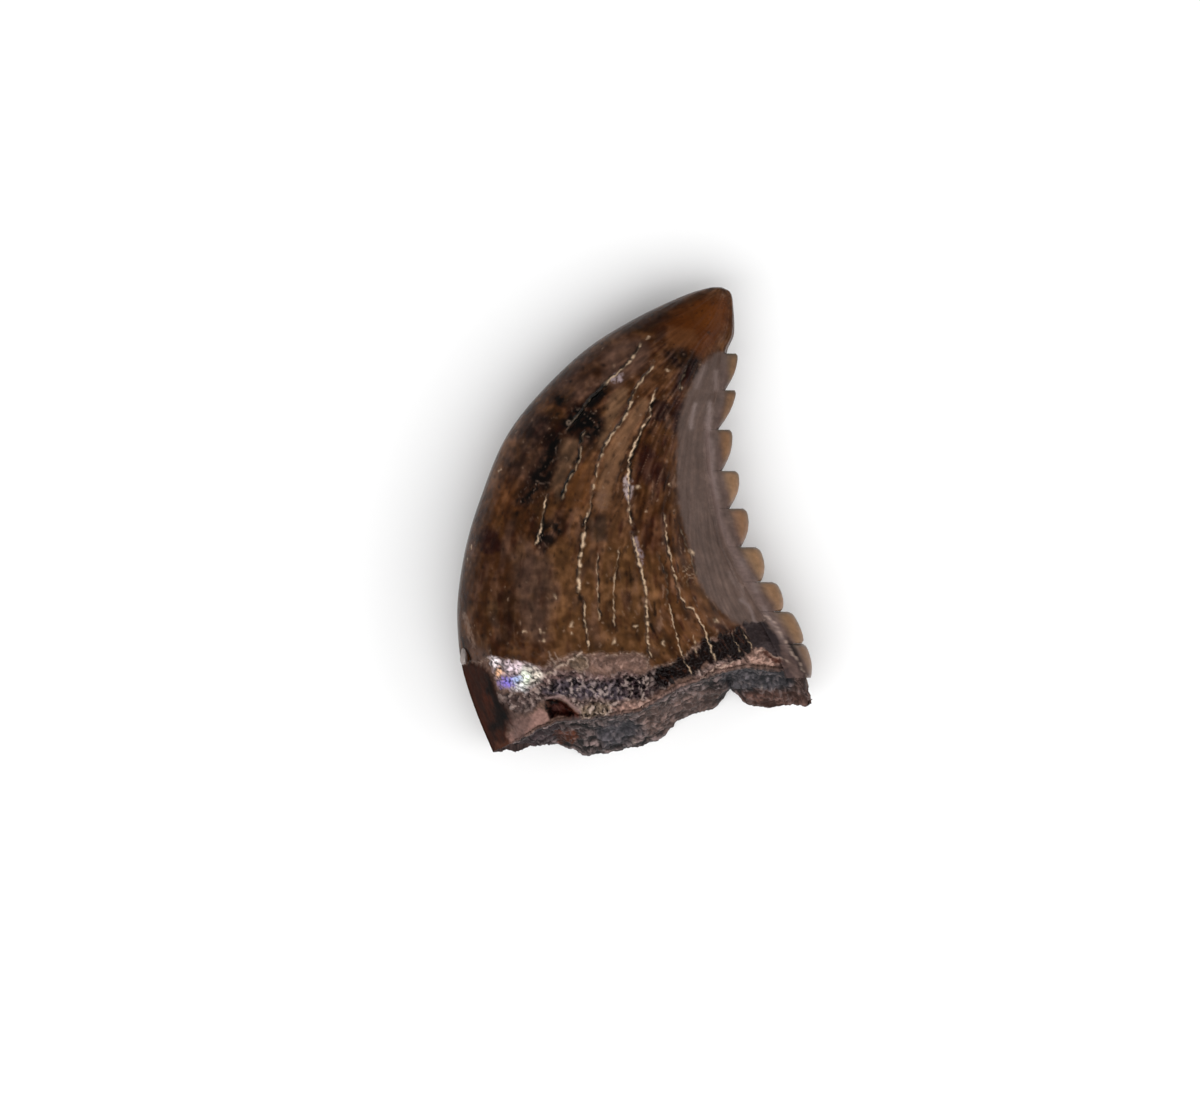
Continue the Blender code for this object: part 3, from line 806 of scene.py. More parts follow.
def base_look(skin):
    """Below the enamel: pinkish dentine, with a pale ragged line where the enamel ends."""
    edge = area_distance(*skin.wobbled(0.7, 0.8), BASE_AREA)
    below = smooth_step(-1.0, 1.0, edge)
    fibres = skin.streaks(0.022, 0.12, 101)
    grain = skin.grains(0.026, 104)
    lumps = skin.grains(0.07, 107)
    dentine = albedo(102, 79, 69) * np.exp(0.45 * fibres + 0.45 * grain + 0.45 * lumps)[:, None]
    skin.tint += (dentine - skin.tint) * below[:, None]
    beads = smooth_step(-0.1, 0.5, skin.grains(0.030, 109, 2))
    pale = np.exp(-((edge - 0.8) / 1.3)**2) * beads
    skin.tone(albedo(160, 136, 120), 0.75 * pale)
    skin.finish(0.50, below)
    skin.raise_by(-0.030, below)
    skin.raise_by(0.008, below * (grain + 1.2 * lumps))


# Patches of the base, painted in this order
BASE_PATCHES = {
    "strip": ((46, 26, 12), 0.95, 2.0, [
        (455, 664), (478, 664), (488, 676), (494, 684), (502, 697), (506, 708), (512, 720), (505, 735),
        (510, 750), (480, 765), (440, 700)]),
    "strip, dark right side": ((14, 6, 4), 0.80, 3.0, [
        (484, 676), (490, 680), (502, 700), (508, 716), (502, 732), (494, 724), (492, 700)]),
    "bottom corner": ((82, 51, 39), 0.80, 2.5, [(493, 744), (504, 741), (512, 746), (508, 753), (495, 753)]),
    "grains": ((104, 82, 79), 0.95, 3.5, [
        (520, 672), (540, 666), (566, 671), (596, 674), (630, 672), (648, 676), (640, 684), (560, 684),
        (536, 694),
        (524, 696)]),
    "below the sparkle": ((74, 60, 58), 0.90, 3.0, [
        (500, 692), (520, 696), (545, 688), (555, 680), (562, 692), (548, 700), (530, 712), (512, 714),
        (504, 704)]),
    "plate": ((100, 82, 68), 0.90, 1.2, [
        (573, 655), (580, 653), (587, 659), (587, 668), (580, 673), (572, 670), (569, 662)]),
    "rough black": ((74, 65, 72), 0.95, 4.0, [
        (540, 690), (556, 682), (568, 679), (600, 681), (640, 678), (652, 688), (636, 699), (604, 701),
        (575, 702),
        (558, 698)]),
    "below the rough black": ((112, 92, 86), 0.90, 3.0, [
        (566, 700), (600, 699), (630, 701), (618, 712), (594, 722), (580, 714)]),
    "over the rim": ((112, 92, 86), 0.90, 2.5, [
        (690, 676), (704, 668), (718, 661), (734, 655), (748, 652), (748, 658), (730, 664), (712, 672),
        (696, 682)]),
    "cream grains": ((120, 102, 86), 0.90, 2.5, [
        (582, 706), (596, 704), (614, 703), (612, 712), (600, 720), (584, 721), (578, 714)]),
    "right of the plate": ((118, 92, 82), 0.75, 3.0, [
        (592, 657), (640, 656), (646, 664), (640, 668), (600, 670), (592, 666)]),
    "left of the fractured black": ((52, 40, 42), 0.92, 3.5, [
        (616, 680), (634, 676), (650, 671), (664, 668), (680, 676), (664, 690), (646, 698), (626, 700)]),
    "fractured black": ((25, 8, 6), 0.98, 2.2, [
        (652, 674), (660, 667), (681, 657), (696, 649), (704, 640), (718, 636), (733, 631), (744, 625),
        (754, 646), (748, 655), (713, 662), (696, 670), (680, 680), (664, 686), (654, 682)]),
    "slate": ((44, 38, 39), 0.95, 1.5, [
        (743, 625), (752, 621), (764, 619), (777, 636), (786, 658), (772, 654), (755, 648)]),
    "slate, lower": ((74, 64, 64), 0.60, 2.0, [(758, 645), (772, 644), (784, 656), (772, 655)]),
    "pink wedge": ((140, 109, 97), 0.95, 1.6, [
        (746, 660), (752, 651), (757, 646), (774, 654), (792, 662), (790, 670), (770, 668), (752, 666)]),
    "wedge, red side": ((66, 34, 25), 0.85, 1.3, [
        (762, 650), (774, 654), (783, 661), (777, 662), (766, 656)]),
    "right corner": ((60, 48, 47), 0.85, 3.0, [
        (783, 650), (794, 656), (806, 676), (816, 704), (800, 708), (790, 686), (778, 668)]),
    "rim left of it": ((96, 78, 72), 0.60, 1.2, [
        (779, 646), (784, 648), (800, 672), (810, 692), (812, 704), (805, 704), (797, 686), (788, 668)]),
    "thin dark strip": ((26, 20, 20), 0.92, 1.2, [
        (785, 637), (790, 639), (803, 660), (811, 675), (817, 692), (812, 694), (806, 680), (797, 663)]),
    "lower left dentine": ((144, 111, 102), 0.95, 1.8, [
        (512, 722), (526, 716), (540, 711), (547, 715), (549, 722), (536, 730), (522, 739), (516, 750),
        (509, 746), (506, 738), (510, 730)]),
    "dentine, grey side": ((80, 64, 60), 0.65, 4.0, [
        (508, 712), (524, 708), (531, 722), (520, 740), (509, 740)]),
    "rim": ((146, 115, 104), 0.95, 1.5, [
        (612, 708), (640, 701), (659, 695), (679, 686), (690, 681), (709, 672), (719, 666), (740, 660),
        (751, 659), (752, 664), (740, 667), (720, 675), (709, 681), (690, 690), (679, 694), (660, 702),
        (640, 708), (619, 715)]),
}

# Where the sparkle's painted glints lie, and below, their colours.
SPARKLE = [
    (486, 658), (498, 656), (506, 662), (526, 662), (541, 666), (542, 680), (528, 695), (510, 693),
    (500, 688), (494, 681), (488, 673),
]
GLINT_TONES = [
    ((236, 214, 222), (512, 668), (11, 5)),
    ((236, 184, 146), (497, 673), (3.5, 3.5)),
    ((132, 116, 208), (507, 683), (6, 4)),
    ((170, 186, 226), (515, 682), (4, 4)),
    ((252, 248, 250), (520, 690), (8, 4)),
    ((236, 244, 226), (524, 679), (5, 9)),
    ((226, 214, 200), (535, 674), (5, 7)),
    ((250, 238, 240), (492, 662), (6, 4)),
]
# Pale strokes on the base, partly mineral and partly painted highlight on raised edges: half width, strength
# and line
PALE_STROKES = [
    (0.9, 0.35, [(550, 653), (551, 658), (554, 665), (551, 671)]),
    (1.2, 0.65, [(543, 673), (549, 671), (552, 673), (556, 668), (561, 664)]),
    (1.1, 0.75, [(561, 664), (566, 666), (569, 660), (573, 660), (576, 654), (581, 651)]),
    (0.8, 0.30, [(556, 654), (557, 658), (560, 663)]),
    (0.8, 0.40, [(579, 653), (585, 657), (587, 665), (583, 673), (577, 673)]),
    (1.0, 0.60, [(486, 659), (492, 662), (496, 668)]),
    (0.8, 0.60, [(527, 668), (533, 674), (536, 682), (534, 690)]),
    (0.9, 0.55, [(712, 672), (718, 667), (723, 669), (728, 664), (735, 661)]),
    (0.8, 0.45, [(700, 681), (706, 676), (712, 677), (719, 672)]),
    (0.9, 0.50, [(768, 613), (784, 641), (797, 660), (808, 678), (813, 696)]),
    (0.7, 0.35, [(757, 648), (770, 653), (779, 656), (791, 664)]),
    (0.8, 0.45, [(648, 655), (646, 662), (650, 668)]),
]
CHIP = [
    (545, 700), (549, 698), (556, 699), (563, 702), (571, 708), (578, 715), (578, 721), (573, 723),
    (567, 718),
    (558, 716), (549, 720), (545, 710),
]


def wires(skin, size, width, seed):
    """Thin curling lines, as light catches the edges of rough mineral."""
    warp = 0.35 * np.column_stack([noise(skin.points / (1.6 * size) + 9, seed + k) for k in range(3)])
    return smooth_step(width, 0.3 * width, np.abs(noise(skin.points / size + warp, seed)))


# How far the rough patches of the base break up into strokes with dark gaps
ROUGHNESS = {
    "grains": 0.80, "below the sparkle": 0.95, "rough black": 1.0, "below the rough black": 0.75, "rim": 0.32,
    "pink wedge": 0.22, "left of the fractured black": 0.9, "cream grains": 0.9, "over the rim": 0.85,
    "right of the plate": 0.25, "plate": 0.15,
}


STROKE_TURN = 2.2  # how far strokes turn either way in all, in radians


def strokes(x, y, size, reach, width, lean, seed):
    """Short strokes, one in each cell of a loose grid: how far one covers each point, and its own number."""
    x, y = x / size, y / size
    cover = np.zeros(len(x))
    number = np.zeros(len(x))
    for cell, code in cells_around(x, y, seed):
        right = x - cell[:, 0] - byte_share(code)
        below = y - cell[:, 1] - byte_share(code, 8)
        turn = lean + STROKE_TURN * (byte_share(code, 16) - 0.5)
        along = (np.sin(turn) * right + np.cos(turn) * below) / reach
        aside = (np.cos(turn) * right - np.sin(turn) * below) / width
        here = np.exp(-along**4 - aside**2)
        number = np.where(here > cover, byte_share(code, 5), number)
        cover = np.maximum(cover, here)
    return cover, number


def rough_strokes(x, y, seed):
    """Large and small strokes together."""
    large, large_tone = strokes(x, y, 6.5, 0.62, 0.27, 0.2, seed)
    small, small_tone = strokes(x, y, 3.8, 0.60, 0.30, -0.3, seed + 1)
    return np.maximum(large, 0.9 * small), np.where(large > 0.9 * small, large_tone, small_tone)


def base_patches(skin):
    """Paints the patches of the base. Rough ones break up into strokes, and each pale stroke has a shadow."""
    rough = skin.grains(0.034, 111)
    coarse = skin.grains(0.085, 114)
    cover, number = rough_strokes(*skin.wobbled(0.7), 116)
    solid = smooth_step(0.15, 0.60, cover)
    bright = smooth_step(0.55, 1.0, number)[:, None]
    fibres = skin.streaks(0.030, 0.22, 112)
    tongues = 4.5 * fibres + 7.0 * skin.streaks(0.11, 0.60, 117, 2)
    for name, (colour, strength, soft, outline) in BASE_PATCHES.items():
        mask = strength * skin.area(outline, soft, wobble=0.9)
        if name == "fractured black":
            mask = strength * smooth_step(-soft, soft, area_distance(skin.x, skin.y + tongues, outline))
        calm = 0.45 if name.startswith(("slate", "strip", "thin")) else 0.8
        tone = albedo(*colour) * np.exp(calm * (0.40 * rough + 0.40 * coarse))[:, None]
        depth = ROUGHNESS.get(name, 0.0)
        if depth:
            tone = tone * np.exp(1.2 * (number - 0.5) + 0.35 * coarse)[:, None]
            tone += (albedo(184, 164, 155) - tone) * 0.60 * bright * min(1.0, depth + 0.1)
            gaps = (0.45 + 0.50 * smooth_step(-0.5, 0.4, -coarse)) * depth * (1 - solid)
            tone += (albedo(22, 18, 24) - tone) * gaps[:, None]
            skin.raise_by(0.030 * depth, mask * (solid - 0.45 + 0.4 * coarse))
            skin.finish(0.35, mask)
        elif name.startswith("strip"):
            tone = tone * np.exp(0.75 * skin.streaks(0.05, 0.30, 118) + 0.3 * fibres)[:, None]
            skin.finish(0.75, mask)
            skin.lift *= 1 - 0.75 * mask
        skin.tone(tone, mask)
        if name == "fractured black":
            skin.finish(0.18, mask)
            skin.tone(albedo(68, 42, 32), 0.60 * mask * smooth_step(0.15, 0.85, fibres + 0.5 * coarse))
            skin.raise_by(0.010, mask * fibres)
    for width, strength, line in PALE_STROKES:
        mark, signed = skin.line(line, width, wobble=0.75)
        unbroken = smooth_step(-0.60, 0.10, rough + coarse)
        # Each pale stroke, partly a painted highlight, gets a painted shadow beside it.
        skin.tone(albedo(30, 22, 20), 0.4 * strength * np.exp(-((signed - 2.0 * width) / width)**2))
        skin.tone(albedo(190, 166, 150), strength * mark * unbroken)
        skin.raise_by(0.012, mark)
    for centre, radii in STRIP_SPOTS:
        skin.tone(albedo(10, 6, 5), 0.9 * skin.spot(centre, radii, wobble=0.8))


STRIP_SPOTS = [
    ((504, 717), (4.0, 5.5)), ((494, 727), (5.0, 4.5)), ((498, 706), (3.0, 4.0)), ((488, 690), (2.0, 3.5)),
]


def sparkle_glint_look(skin):
    """A patch of painted glints over tiny raised facets: pale, iridescent highlights with dark gaps."""
    mask = skin.area(SPARKLE, 1.6, wobble=0.9)
    tone = np.broadcast_to(albedo(120, 100, 98), skin.tint.shape).copy()
    for colour, centre, radii in GLINT_TONES:
        amount = np.clip(1.25 * skin.spot(centre, radii, wobble=1.6), 0, 1)
        tone += (albedo(*colour) - tone) * amount[:, None]
    gaps = smooth_step(-0.45, 0.10, skin.grains(0.042, 123, 2))
    shade = (0.12 + 1.30 * np.maximum(gaps, 0.95 * wires(skin, 0.055, 0.30, 125)))[:, None]
    shade *= (1 - 0.72 * wires(skin, 0.070, 0.24, 127))[:, None]
    skin.tint += (tone * shade - skin.tint) * (0.95 * mask)[:, None]
    skin.raise_by(0.012, mask * skin.grains(0.045, 123, 2))
    skin.finish(0.2, mask)


CHIP_EDGE = [(546, 697), (558, 696), (568, 702), (580, 712)]
CHIP_SHADOW = [(543, 698), (560, 698), (554, 706), (552, 716), (543, 718)]
CHIP_RED = [(566, 711), (572, 710), (578, 716), (577, 721), (571, 718)]
CHIP_BROWN = [(552, 706), (560, 704), (566, 712), (560, 714), (552, 712)]


def chip_look(skin):
    """A dark red chip in the rim, with a pale line over it."""
    inside = area_distance(*skin.wobbled(0.3), CHIP)
    mask = smooth_step(-1.0, 1.0, inside)
    skin.tone(albedo(44, 25, 22) * np.exp(0.6 * skin.grains(0.05, 121))[:, None], mask)
    skin.tone(albedo(12, 8, 9), 0.9 * mask * skin.area(CHIP_SHADOW, 2.5))
    skin.tone(albedo(104, 56, 44), 0.70 * skin.area(CHIP_RED, 2.0))
    skin.tone(albedo(84, 44, 38), 0.55 * skin.area(CHIP_BROWN, 2.0))
    cover, number = rough_strokes(skin.x, skin.y, 122)
    skin.tone(albedo(98, 68, 58), 0.55 * mask * smooth_step(0.3, 0.8, cover) * smooth_step(0.5, 1.0, number))
    skin.tone(albedo(12, 8, 8), 0.55 * mask * smooth_step(0.5, 0.2, cover))
    skin.raise_by(0.016, mask * cover)
    skin.raise_by(-0.11, smooth_step(-1, 6, inside))
    edge, _ = skin.line(CHIP_EDGE, 1.5)
    skin.tone(albedo(142, 116, 112), 0.75 * edge * (1 - mask))
    skin.raise_by(0.012, edge * (1 - mask))


ROUGHEST = 0.9


def near_look(skin):
    """The side that the photograph shows."""
    # Pale colour of the painted crack highlights, the painted glint spots and the scribble.
    cream = albedo(212, 182, 152)
    enamel_look(skin)
    inside_band = band_with_sheen_look(skin)
    stain_look(skin, inside_band)
    base_look(skin)
    light_marks(skin, cream)
    base_patches(skin)
    sparkle_glint_look(skin)
    chip_look(skin)
    crack_look(skin, cream)
    skin.rough[:] = np.minimum(skin.rough, ROUGHEST)


FLAT_ROUGH = 0.42


def plain_enamel(skin):
    """The far side, which the photograph does not show: the same enamel, scuffed on its flat."""
    by_edge = smooth_step(0.45, 0.0, np.minimum(skin.across, 1 - skin.across))
    enamel_ground(skin, by_edge)
    skin.raise_by(0.003, skin.grains(0.5, 151, 2))
    skin.rough[:] = FLAT_ROUGH - (FLAT_ROUGH - ENAMEL_ROUGH) * by_edge


# Meshes

def zip_lines(a, a_share, b, b_share):
    """Triangles between two lines of points; their shares of the way tell which points face each other."""
    faces = []
    i = j = 0
    while i < len(a) - 1 or j < len(b) - 1:
        if j == len(b) - 1:
            step_a = True
        elif i == len(a) - 1:
            step_a = False
        else:
            step_a = a_share[i] + a_share[i + 1] <= b_share[j] + b_share[j + 1]
        if step_a:
            faces.append((a[i], a[i + 1], b[j]))
            i += 1
        else:
            faces.append((a[i], b[j + 1], b[j]))
            j += 1
    return faces


def point_normals(points, faces):
    """The outward direction at each point, from the faces round it."""
    corners = points[faces]
    normal = np.cross(corners[:, 1] - corners[:, 0], corners[:, 2] - corners[:, 0])
    total = np.zeros_like(points)
    for corner in range(3):
        for axis in range(3):
            total[:, axis] += np.bincount(faces[:, corner], normal[:, axis], len(points))
    return total / np.maximum(np.linalg.norm(total, axis=1), 1e-12)[:, None]


def row_shares(side, along, spacing, cracks):
    """Shares across one row, evenly spaced over the curved side and closer together beside cracks."""
    fine = eased(ROW_SAMPLES)
    points = side(np.full(ROW_SAMPLES, along), fine)
    step = np.linalg.norm(np.diff(points, axis=0), axis=1)
    weight = np.ones(ROW_SAMPLES - 1)
    if cracks:
        middle = (points[1:] + points[:-1]) / 2
        x, y = photo_place(middle)
        nearest = np.full(len(x), 99.0)
        for crack in CRACKS.values():
            line = crack[-1]
            low, high = min(p[1] for p in line) - 8, max(p[1] for p in line) + 8
            if y.max() > low and y.min() < high:
                nearest = np.minimum(nearest, line_distance(x, y, line)[0])
        weight += CRACK_FINENESS * np.exp(-(nearest / CRACK_FINE_WIDTH)**2)
    arc = np.concatenate([[0], np.cumsum(step)])
    weighted = np.concatenate([[0], np.cumsum(step * weight)])
    count = max(4, int(round(weighted[-1] / spacing)))
    across = np.interp(np.linspace(0, weighted[-1], count + 1), weighted, fine)
    across[0], across[-1] = 0, 1
    return across, np.interp(across, fine, arc), arc[-1]


class MeshParts:
    """Gathers points and triangles of one closed mesh, with a place on its flat map for each corner."""

    def __init__(self):
        self.points, self.along, self.across, self.map = [], [], [], []
        self.count = 0
        self.faces, self.face_maps = [], []

    def add(self, points, along, across, places):
        ids = list(range(self.count, self.count + len(points)))
        self.points.append(points)
        self.along.append(np.broadcast_to(along, len(points)))
        self.across.append(np.broadcast_to(across, len(points)))
        self.map.extend(places)
        self.count += len(points)
        return ids

    def zip(self, a, a_share, b, b_share, places=None):
        faces = zip_lines(a, a_share, b, b_share)
        self.faces.extend(faces)
        places = places or {}
        for face in faces:
            self.face_maps.extend(places[v] if v in places else self.map[v] for v in face)


# The flat map to bake to: its side, its margin, the near side's middle and the crown's length
# on it. The far side and the break each have a left, a top and a scale.
MAP_SIDE = 7.0
MAP_EDGE = 0.05
NEAR_MIDDLE = 2.15
MAP_LENGTH = 5.9
FAR_MAP = (4.50, 0.05, 0.50)
FAR_MIDDLE = 1.1
BREAK_MAP = (4.45, 3.60, 0.65)


def near_map(arc, length, along):
    return [(MAP_EDGE + NEAR_MIDDLE + a - length / 2, MAP_EDGE + along * MAP_LENGTH) for a in arc]


def make_near(parts):
    """Rows of points up the near side, joined to a point at the tip."""
    base = np.linspace(0, BASE_SHARE, BASE_ROWS, endpoint=False)
    crown = BASE_SHARE + (LAST_ROW - BASE_SHARE) * np.linspace(0, 1, CROWN_ROWS)**0.97
    rows = []
    for along in np.concatenate([base, crown]):
        spacing = BASE_SPACING if along < BASE_SHARE else CROWN_SPACING
        across, arc, length = row_shares(near_side, along, spacing, cracks=True)
        points = near_side(np.full(len(across), along), across)
        ids = parts.add(points, along, across, near_map(arc, length, along))
        rows.append((ids, list(across), along))
    for lower, upper in zip(rows[:-1], rows[1:]):
        parts.zip(lower[0], lower[1], upper[0], upper[1])
    tip = np.append(curve_at(BACK_EDGE, np.array([1.0]))[0], 0.0)[None]
    pole = parts.add(tip, 1.0, 0.5, near_map([0.0], 0.0, 1.0))
    parts.zip(rows[-1][0], rows[-1][1], pole, [0.5])
    return rows, pole[0]


HOLLOW_DEPTH = 0.32
HOLLOW_ROUGH = 0.020


def break_point(near_rim, far_rim, down):
    """Points of the break: the wall of the tooth at both rims, and a hollow between them for the stone."""
    point = near_rim * (1 - down)[:, None] + far_rim * down[:, None]
    room = smooth_step(0.0, 0.5, np.abs(near_rim[:, 2] - far_rim[:, 2]))
    hollow = smooth_step(0.08, 0.20, down) * (1 - smooth_step(0.93, 0.99, down))
    edge = np.sin(math.pi * down)
    point[:, 1] += room * (HOLLOW_DEPTH * hollow + HOLLOW_ROUGH * edge * fractal(point * 9, 161))
    return point


def make_break(parts, rows):
    """Lines of points down the break, one for each point of the near rim. Returns the far rim's points."""
    near_ids, across, _ = rows[0]
    near_rim = np.array(parts.points[0])
    far_rim = far_side(np.zeros(len(across)), np.array(across))
    gap = np.linalg.norm(near_rim - far_rim, axis=1)
    arc = np.concatenate([[0], np.cumsum(np.linalg.norm(np.diff(near_rim, axis=0), axis=1))])
    scale = BREAK_MAP[2]
    lines, far_ids, places = [([near_ids[0]], [0.5])], [near_ids[0]], {}
    for m in range(len(near_ids)):
        places[near_ids[m]] = (BREAK_MAP[0] + arc[m] * scale, BREAK_MAP[1])
    for m in range(1, len(near_ids) - 1):
        steps = max(1, int(round(gap[m] / BREAK_SPACING)))
        down = np.linspace(0, 1, steps + 1)[1:]
        count = len(down)
        points = break_point(
            np.repeat(near_rim[m:m + 1], count, 0), np.repeat(far_rim[m:m + 1], count, 0), down)
        u = places[near_ids[m]][0]
        ids = parts.add(points, 0.0, across[m], [(u, BREAK_MAP[1] + gap[m] * scale * d) for d in down])
        lines.append(([near_ids[m], *ids], [0.0, *down]))
        far_ids.append(ids[-1])
    lines.append(([near_ids[-1]], [0.5]))
    far_ids.append(near_ids[-1])
    for left, right in zip(lines[:-1], lines[1:]):
        parts.zip(left[0], left[1], right[0], right[1], places)
    return far_ids, list(across)


def make_far(parts, rows, pole, far_rim_ids, far_rim_across):
    """The far side, joined to the edges of the near side, the break and the tip."""
    left, top, scale = FAR_MAP
    where = {}

    def place(arc, length, along):
        return (left + FAR_MIDDLE + (arc - length / 2) * scale, top + along * MAP_LENGTH * scale)

    alongs = np.linspace(0, LAST_ROW - 0.01, FAR_ROWS)[1:]
    far_rows = []
    for along in alongs:
        across, arc, length = row_shares(far_side, along, FAR_SPACING, cracks=False)
        inner = across[1:-1]
        points = far_side(np.full(len(inner), along), inner)
        ids = parts.add(points, along, inner, [place(a, length, along) for a in arc[1:-1]])
        far_rows.append((ids, list(inner), along))
    for ids, across, along in rows:
        _, _, length = row_shares(far_side, along, LENGTH_SPACING, cracks=False)
        where[ids[0]] = place(0, length, along)
        where[ids[-1]] = place(length, length, along)
    _, _, length = row_shares(far_side, 0.0, LENGTH_SPACING, cracks=False)
    for vertex, across in zip(far_rim_ids, far_rim_across):
        where[vertex] = place(across * length, length, 0.0)
    where[pole] = place(0, 0, 1.0)
    parts.zip(far_rows[0][0], far_rows[0][1], far_rim_ids, far_rim_across, where)
    for lower, upper in zip(far_rows[:-1], far_rows[1:]):
        parts.zip(upper[0], upper[1], lower[0], lower[1], where)
    parts.zip([pole], [0.5], far_rows[-1][0], far_rows[-1][1], where)
    edge_along = [row[2] for row in rows] + [1.0]
    back = [row[0][0] for row in rows] + [pole]
    toothed = [row[0][-1] for row in rows] + [pole]
    far_along = [row[2] for row in far_rows]
    parts.zip(back, edge_along, [row[0][0] for row in far_rows], far_along, where)
    parts.zip([row[0][-1] for row in far_rows], far_along, toothed, edge_along, where)


def ring_faces(start, rings, sides, capped=True):
    """Faces of a tube through closed rings of points, with both ends closed if it is capped."""
    faces = []
    for ring in range(rings - 1):
        a = start + ring * sides
        b = a + sides
        for side in range(sides):
            after = (side + 1) % sides
            faces.append((a + side, a + after, b + after, b + side))
    if capped:
        last = start + (rings - 1) * sides
        faces.append(tuple(range(start + sides - 1, start - 1, -1)))
        faces.append(tuple(range(last, last + sides)))
    return faces


def add_object(name, data):
    """A new object in the scene."""
    added = bpy.data.objects.new(name, data)
    bpy.context.collection.objects.link(added)
    return added


def keep(piece):
    """Each piece belongs to the one body, and the imported solid that it stands in for is hidden."""
    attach(piece, "root")
    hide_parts("tooth")


def make_piece(name, points, faces, material, skin, corner_map=None):
    """One piece of the visual model, with its painted tint, finish and fibre on its points."""
    mesh = bpy.data.meshes.new(name)
    mesh.from_pydata(((points + SHIFT) * MM).tolist(), [], faces)
    builder = bmesh.new()
    builder.from_mesh(mesh)
    bmesh.ops.recalc_face_normals(builder, faces=builder.faces)
    builder.to_mesh(mesh)
    builder.free()
    mesh.materials.append(material)
    mesh.shade_smooth()
    zero, one = np.zeros(len(points)), np.ones(len(points))
    for label, kind, field, values in (
        ("tint", "FLOAT_COLOR", "color", np.column_stack([skin.tint, one])),
        ("finish", "FLOAT_VECTOR", "vector", np.column_stack([skin.rough, zero, zero])),
        ("fibre", "FLOAT_VECTOR", "vector", skin.fibre),
    ):
        mesh.attributes.new(label, kind, "POINT").data.foreach_set(field, values.ravel())
    if corner_map is not None:
        layer = mesh.uv_layers.new(name="OFBake")
        layer.data.foreach_set("uv", (np.array(corner_map) / MAP_SIDE).ravel())
    keep(add_object(name, mesh))


def make_crown(material):
    """The near side, the broken wall and the far side in one closed mesh."""
    parts = MeshParts()
    rows, pole = make_near(parts)
    near_count = parts.count
    far_rim_ids, far_rim_across = make_break(parts, rows)
    break_count = parts.count
    make_far(parts, rows, pole, far_rim_ids, far_rim_across)
    points = np.vstack(parts.points)
    along, across = np.concatenate(parts.along), np.concatenate(parts.across)
    faces = np.array(parts.faces)
    normals = point_normals(points, faces)

    skins = []
    for first, last, look in (
        (0, near_count, near_look),
        (near_count, break_count, wall_look),
        (break_count, len(points), plain_enamel),
    ):
        skin = Skin(points[first:last], along[first:last], across[first:last])
        look(skin)
        skins.append(skin)
    whole = Skin.__new__(Skin)
    for field in ("lift", "tint", "rough", "fibre"):
        setattr(whole, field, np.concatenate([getattr(skin, field) for skin in skins]))
    edge_on = smooth_step(0.0, 0.35, np.abs(normals[:, 2]))
    points = points + normals * (whole.lift * edge_on)[:, None]
    points[:, 2] = np.clip(points[:, 2], -FLAT_DEPTH, RELIEF_TOP)
    make_piece("crown", points, faces.tolist(), material, whole, parts.face_maps)


def wall_look(skin):
    """The tooth's own wall where it is broken through."""
    rough = skin.grains(0.034, 171)
    skin.tint[:] = albedo(66, 54, 52)
    skin.tone(albedo(74, 60, 56), smooth_step(0.5, 0.9, skin.across))
    skin.tint *= np.exp(0.55 * rough + 0.6 * skin.grains(0.09, 174))[:, None]
    # Pale curls of painted highlight on the broken wall.
    skin.tone(albedo(128, 108, 100), 0.6 * wires(skin, 0.090, 0.14, 176) * smooth_step(-0.1, 0.4, rough))
    skin.tone(albedo(22, 16, 15), 0.7 * smooth_step(0.25, 0.7, skin.grains(0.05, 177)))
    skin.raise_by(0.014, rough + 0.8 * skin.grains(0.08, 174))
    skin.rough[:] = 0.6


# The stone in the broken base

FILL_STATIONS = 300
FILL_ENDS = (0.035, 0.988)
FILL_FRONT = 74
FILL_BACK = 6
FILL_DOWN = (0.045, 0.985)  # where its face begins and ends between the near rim and the far rim
FILL_SETBACK = 0.06  # how much later its face begins under the chip and by the back edge
FILL_BACK_DOWN = (0.80, 0.22)
FILL_DEPTH = 0.10  # how far up the crown it goes, as a share of the length
FILL_RECESS = 0.075
CHIP_MIDDLE, CHIP_REACH = 562.0, 16.0  # in pixels
CHIP_RECESS = 0.06  # how much further back the stone stays under the chip, in millimetres


def fill_ring(across):
    """One closed ring round the stone: its rough face, then back through the tooth's inside."""
    one = np.array([across])
    near_rim = near_side(np.zeros(1), one)
    far_rim = far_side(np.zeros(1), one)
    chip = math.exp(-((float(photo_place(near_rim)[0][0]) - CHIP_MIDDLE) / CHIP_REACH)**2)
    aside = max(chip, 1 - float(smooth_step(0.10, 0.17, one)[0]))
    down = np.linspace(FILL_DOWN[0] + FILL_SETBACK * aside, FILL_DOWN[1], FILL_FRONT)
    front = near_rim * (1 - down)[:, None] + far_rim * down[:, None]
    room = float(smooth_step(0.05, 0.5, np.abs(near_rim[0, 2] - far_rim[0, 2])))
    reaches_edge = float(smooth_step(0.08, 0.14, one)[0])
    recess = FILL_RECESS * smooth_step(0.02, 0.34, down) * (1 - reaches_edge * smooth_step(0.45, 0.95, down))
    front[:, 1] += room * (recess + CHIP_RECESS * chip * smooth_step(0.6, 0.1, down))
    inside = np.array([FILL_DEPTH])
    near_back = near_side(inside, one)
    far_back = far_side(inside, one)
    back_down = np.linspace(*FILL_BACK_DOWN, FILL_BACK)
    back = near_back * (1 - back_down)[:, None] + far_back * back_down[:, None]
    return np.vstack([front, back]), np.concatenate([down, back_down])


